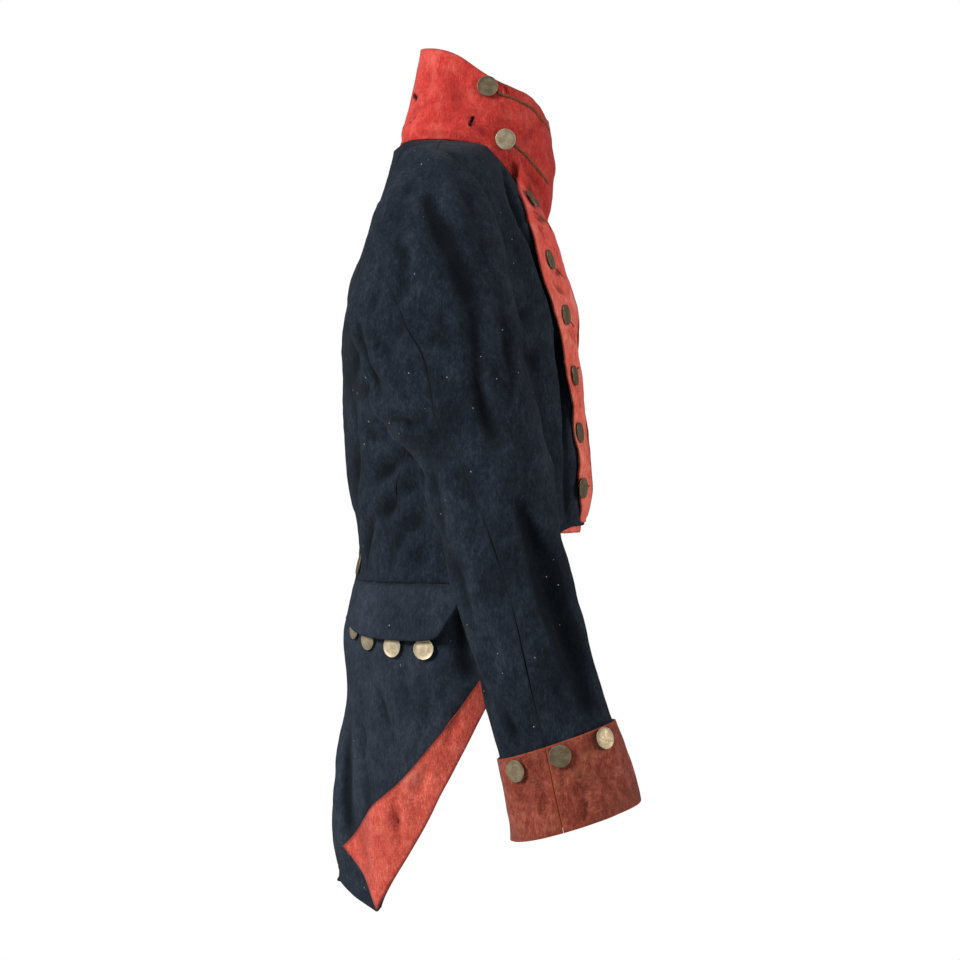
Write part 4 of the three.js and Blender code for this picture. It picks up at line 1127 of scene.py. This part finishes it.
TAIL_BACK_FOLDS = [
    ([(-22, -450), (-28, -520), (-24, -610), (-30, -690)], 3.3, 9.6, 1.5, 1.5),
    ([(-58, -450), (-62, -520), (-72, -600), (-70, -680)], 3.6, 10.8, 1.7, 1.5),
    ([(-98, -460), (-104, -530), (-100, -600)], 3.0, 10.8, 1.4, 1.4),
    ([(20, -450), (30, -530), (28, -600), (34, -696)], 3.4, 9.6, 1.5, 1.5),
    ([(54, -452), (64, -520), (66, -610), (74, -676)], 3.2, 10.8, 1.7, 1.5),
    ([(96, -460), (100, -520), (106, -590)], 3.2, 10.8, 1.4, 1.4),
]
# The tails and flaps look paler than the body in the photograph, so their navy is paler.
# This lighter copy of the body's navy is painted light, standing in for light on the tails and flaps
# that the lamps don't give.
navy_skirts_painted_light = wool(
    "navy_broadcloth_skirts_painted_light",
    dark=(0.0112, 0.0148, 0.0216), mid=(0.0170, 0.0226, 0.0325), light=(0.0275, 0.0355, 0.0485),
    deep=(0.0022, 0.0030, 0.0042), dirt=(0.0180, 0.0196, 0.0225), faded=(0.0300, 0.0375, 0.0490),
    spread=0.3, lint_amount=0.4, sheen=0.02, rub=0.35, edge_tint=(0.011, 0.013, 0.018),
)
# Where the tails' folded front edge passes, from the side: a place on it and how much further
# back it lies for each metre down.
FOLD_OUT = -0.009
FOLD_UP = -0.524
FOLD_LEAN = 0.465


def behind_fold(point):
    """True for a loose edge point of a tail that isn't on its folded front edge."""
    return point[2] < -0.46 and point[1] > FOLD_OUT + FOLD_LEAN * (FOLD_UP - point[2])


def at_waist_seam(point):
    """True for an edge point of a tail in the waist seam, where it is sewn under the back."""
    return point[2] > -0.455 and point[1] > -0.04


tail_folds = {}
for name, left in SIDES:
    tail = outer_face("tail_" + name, (0, 0, -0.56), rim=True, tucked=at_waist_seam)
    finer(tail, 3)
    trees = [tree_of(tail)]
    made = side_folds(TAIL_SIDE_FOLDS, trees, left, 21)
    backs = on_side(TAIL_BACK_FOLDS, left)
    made += [fold(from_front(s, trees, True), *rest) for s, *rest in backs]
    tail_folds[name] = made
    press(
        tail, body_folds[name] + made, ROLLS, seam=lambda p: p[2] > -0.44, seam_deep=0.1,
        loose=behind_fold, loose_wave=0.8, seed=22 + left,
    )
    thicken(tail)
    finish_cloth(tail, "tail_" + name, navy_skirts_painted_light)

# Turnbacks.
# The front edge of each tail folded back on it, faced with scarlet that is paler than the
# collar's. A dark red line shows along its raw edge.
faded_turnback = wool(
    "faded_scarlet_turnback",
    dark=(0.33, 0.041, 0.027), mid=(0.46, 0.070, 0.048), light=(0.60, 0.128, 0.090),
    deep=(0.26, 0.028, 0.018), dirt=(0.34, 0.065, 0.036), faded=(0.64, 0.195, 0.138),
    spread=0.45, lint_amount=0.12, sheen=0.10, rub=0.7, edge_tint=(0.085, 0.008, 0.006),
)
TURNBACK_FOLDS = [
    ([(430, 762), (424, 778), (418, 800)], 2.0, 6, 0.9, 0.8),
    ([(392, 796), (397, 822), (401, 850)], 3.0, 5.5, 1.3, 1.0),
    ([(360, 846), (365, 862), (364, 880)], 1.5, 6, 0.8, 0.6),
    ([(458, 714), (452, 732), (446, 752)], 1.6, 5, 0.8, 0.6),
]
for name, left in SIDES:
    turned = outer_face("turnback_" + name, (0, 0, -0.56))
    finer(turned, 3)
    own = side_folds(TURNBACK_FOLDS, [tree_of(turned)], left, 23)
    press(
        turned, body_folds[name] + tail_folds[name] + own, ROLLS, seam=lambda p: False,
        seam_deep=0, loose=lambda p: True, loose_wave=0.8, seed=24 + left, edge_wide=2.3,
    )
    thicken(turned)
    finish_cloth(turned, "turnback_" + name, faded_turnback)

# Pocket flaps.
# A navy flap set in the waist seam over each hip, deepest near the front. It is plain, without
# buttonholes, and its lower edge stands off the tops of the four buttons.
FLAP_FOLDS = [
    ([(377, 590), (372, 608), (366, 628)], 1.8, 6.6, 0.8, 0.8),
    ([(400, 590), (401, 612), (398, 632)], 1.4, 8.8, 0.7, 0.7),
    ([(430, 592), (426, 610), (428, 630)], 1.3, 8.8, 0.6, 0.6),
]
FLAP_SEAM = -0.436
for name, left in SIDES:
    flap = outer_face("pocket_flap_" + name, (0, 0, -0.48))
    finer(flap, 3)
    own = side_folds(FLAP_FOLDS, [tree_of(flap)], left, 25)
    press(
        flap, body_folds[name] + tail_folds[name] + own, ROLLS,
        seam=lambda p: p[2] > FLAP_SEAM, seam_deep=0.15,
        loose=lambda p: p[2] < FLAP_SEAM, loose_wave=0.7, seed=26 + left,
    )
    thicken(flap)
    finish_cloth(flap, "pocket_flap_" + name, navy_skirts_painted_light)

# Buttons.
# Plain flat buttons of dull yellow metal with a low rim, sewn on by a wire shank behind. The
# finish is cloudy with tarnish, and each one stands close on the cloth it is sewn to.
BUTTON_RADIUS = 10.2
BUTTON_THICK = 1.5
BUTTON_GAP = 0.1
# Rings of the face from its edge inwards: how wide, and how far they rise or sink, in mm.
BUTTON_RINGS = [(0.5, 0), (0.3, -0.1), (3.4, 0.12), (3.2, 0.06)]
BUTTON_LEANS = 0.05
PALE_BUTTONS = ("button_collar_right_2", "button_collar_left_1")


def metal(name, bright, dull, dark):
    """Metal with cloudy wear, small pits, and a rim darkened by tarnish and by painted shade."""
    made = bpy.data.materials.new(name)
    made.use_nodes = True
    tree = made.node_tree
    face = tree.nodes["Principled BSDF"]
    where = node(tree, "ShaderNodeTexCoord").outputs["Object"]
    cloud = noise(tree, where, 7, 4.0, 0.6)
    pits = noise(tree, where, 1.4, 3.0, 0.7)
    rim = node(tree, "ShaderNodeAttribute", attribute_name="rim").outputs["Fac"]
    colour = blend_colour(tree, ramp(tree, cloud, 0.38, 0.66), (*dull, 1), (*bright, 1))
    tarnish_and_shade = sums(tree, "MULTIPLY", ramp(tree, pits, 0.5, 0.72), 0.6)
    # Pits and the rim value darken the metal: tarnish, and painted shade on the lower side.
    tarnish_and_shade = sums(tree, "MAXIMUM", tarnish_and_shade, sums(tree, "MULTIPLY", rim, 0.75))
    colour = blend_colour(tree, tarnish_and_shade, colour, (*dark, 1))
    tree.links.new(colour, face.inputs["Base Color"])
    face.inputs["Metallic"].default_value = 0.85
    rough = node(tree, "ShaderNodeMapRange", [("Value", pits), ("To Min", 0.34), ("To Max", 0.62)])
    tree.links.new(rough.outputs[0], face.inputs["Roughness"])
    bump = node(
        tree, "ShaderNodeBump", [("Height", pits), ("Strength", 0.25), ("Distance", 0.2 * MM)]
    )
    tree.links.new(bump.outputs["Normal"], face.inputs["Normal"])
    return made


button_metal = metal(
    "button_metal", bright=(0.30, 0.235, 0.15), dull=(0.19, 0.145, 0.085),
    dark=(0.055, 0.045, 0.030),
)
pale_metal = metal(
    "pale_button_metal", bright=(0.56, 0.48, 0.33), dull=(0.40, 0.33, 0.21),
    dark=(0.16, 0.125, 0.08),
)

bpy.ops.object.select_all(action="DESELECT")
bpy.ops.mesh.primitive_cylinder_add(
    vertices=64, radius=BUTTON_RADIUS * MM, depth=BUTTON_THICK * MM,
    location=(0, 0, (BUTTON_GAP + BUTTON_THICK / 2) * MM),
)
pattern = bpy.context.object
pattern.name = "button_pattern"
bpy.ops.object.mode_set(mode="EDIT")
bpy.ops.mesh.select_all(action="DESELECT")
bpy.ops.object.mode_set(mode="OBJECT")
for face in pattern.data.polygons:
    face.select = face.normal.z > 0.9
bpy.ops.object.mode_set(mode="EDIT")
for wide, rise in BUTTON_RINGS:
    bpy.ops.mesh.inset(thickness=wide * MM, depth=rise * MM)
bpy.ops.mesh.select_all(action="DESELECT")
bpy.ops.object.mode_set(mode="OBJECT")
apply_modifier(
    pattern, "BEVEL", width=0.22 * MM, segments=2, limit_method="ANGLE",
    angle_limit=math.radians(35),
)
bpy.ops.object.transform_apply(location=True, rotation=True, scale=True)
flat_points, _ = coordinates(pattern)
out = np.hypot(flat_points[:, 0], flat_points[:, 1]) / MM
stained_ring = 0.35 * np.exp(-(((out - 9.5) / 0.4) ** 2))
# The rim value is a tarnished ring in the sunk groove near the edge, and is full on the lower side next
# to the cloth, where it is painted shade.
set_values(pattern, "rim", stained_ring + (flat_points[:, 2] < 0.4 * MM))
for face in pattern.data.polygons:
    face.use_smooth = True

# A button's node tells where its copy goes: its middle, the way its face looks, and its foot.
lean = random.Random(5)
for name in sorted(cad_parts):
    if not name.startswith("button_"):
        continue
    disc, _ = coordinates(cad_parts[name])
    unique = np.unique(disc.round(6), axis=0)
    centre = unique.mean(axis=0)
    axis = np.linalg.svd(unique - centre)[2][2]
    crown = unique[np.abs((unique - centre) @ axis).argmax()]
    if (crown - centre) @ axis < 0:
        axis = -axis
    foot = ((unique - centre) @ axis).min()
    copy = pattern.copy()
    copy.data = pattern.data.copy()
    copy.name = copy.data.name = name + "_metal"
    scene.collection.objects.link(copy)
    across = lean.uniform(-BUTTON_LEANS, BUTTON_LEANS)
    upward = lean.uniform(-BUTTON_LEANS, BUTTON_LEANS)
    tilt = Vector((across, upward, 0))
    facing = (Vector(axis) + tilt).normalized()
    turn = facing.to_track_quat("Z", "Y").to_matrix().to_4x4()
    spin = Matrix.Rotation(lean.uniform(0, 6), 4, "Z")
    low = Vector(centre) + Vector(axis) * (foot + BUTTON_GAP * MM)
    copy.data.transform(Matrix.Translation(low) @ turn @ spin)
    pale = "flap" in name or name in PALE_BUTTONS
    copy.data.materials.clear()
    copy.data.materials.append(pale_metal if pale else button_metal)
    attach(copy, "root")
    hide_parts(name)
bpy.data.objects.remove(pattern, do_unlink=True)
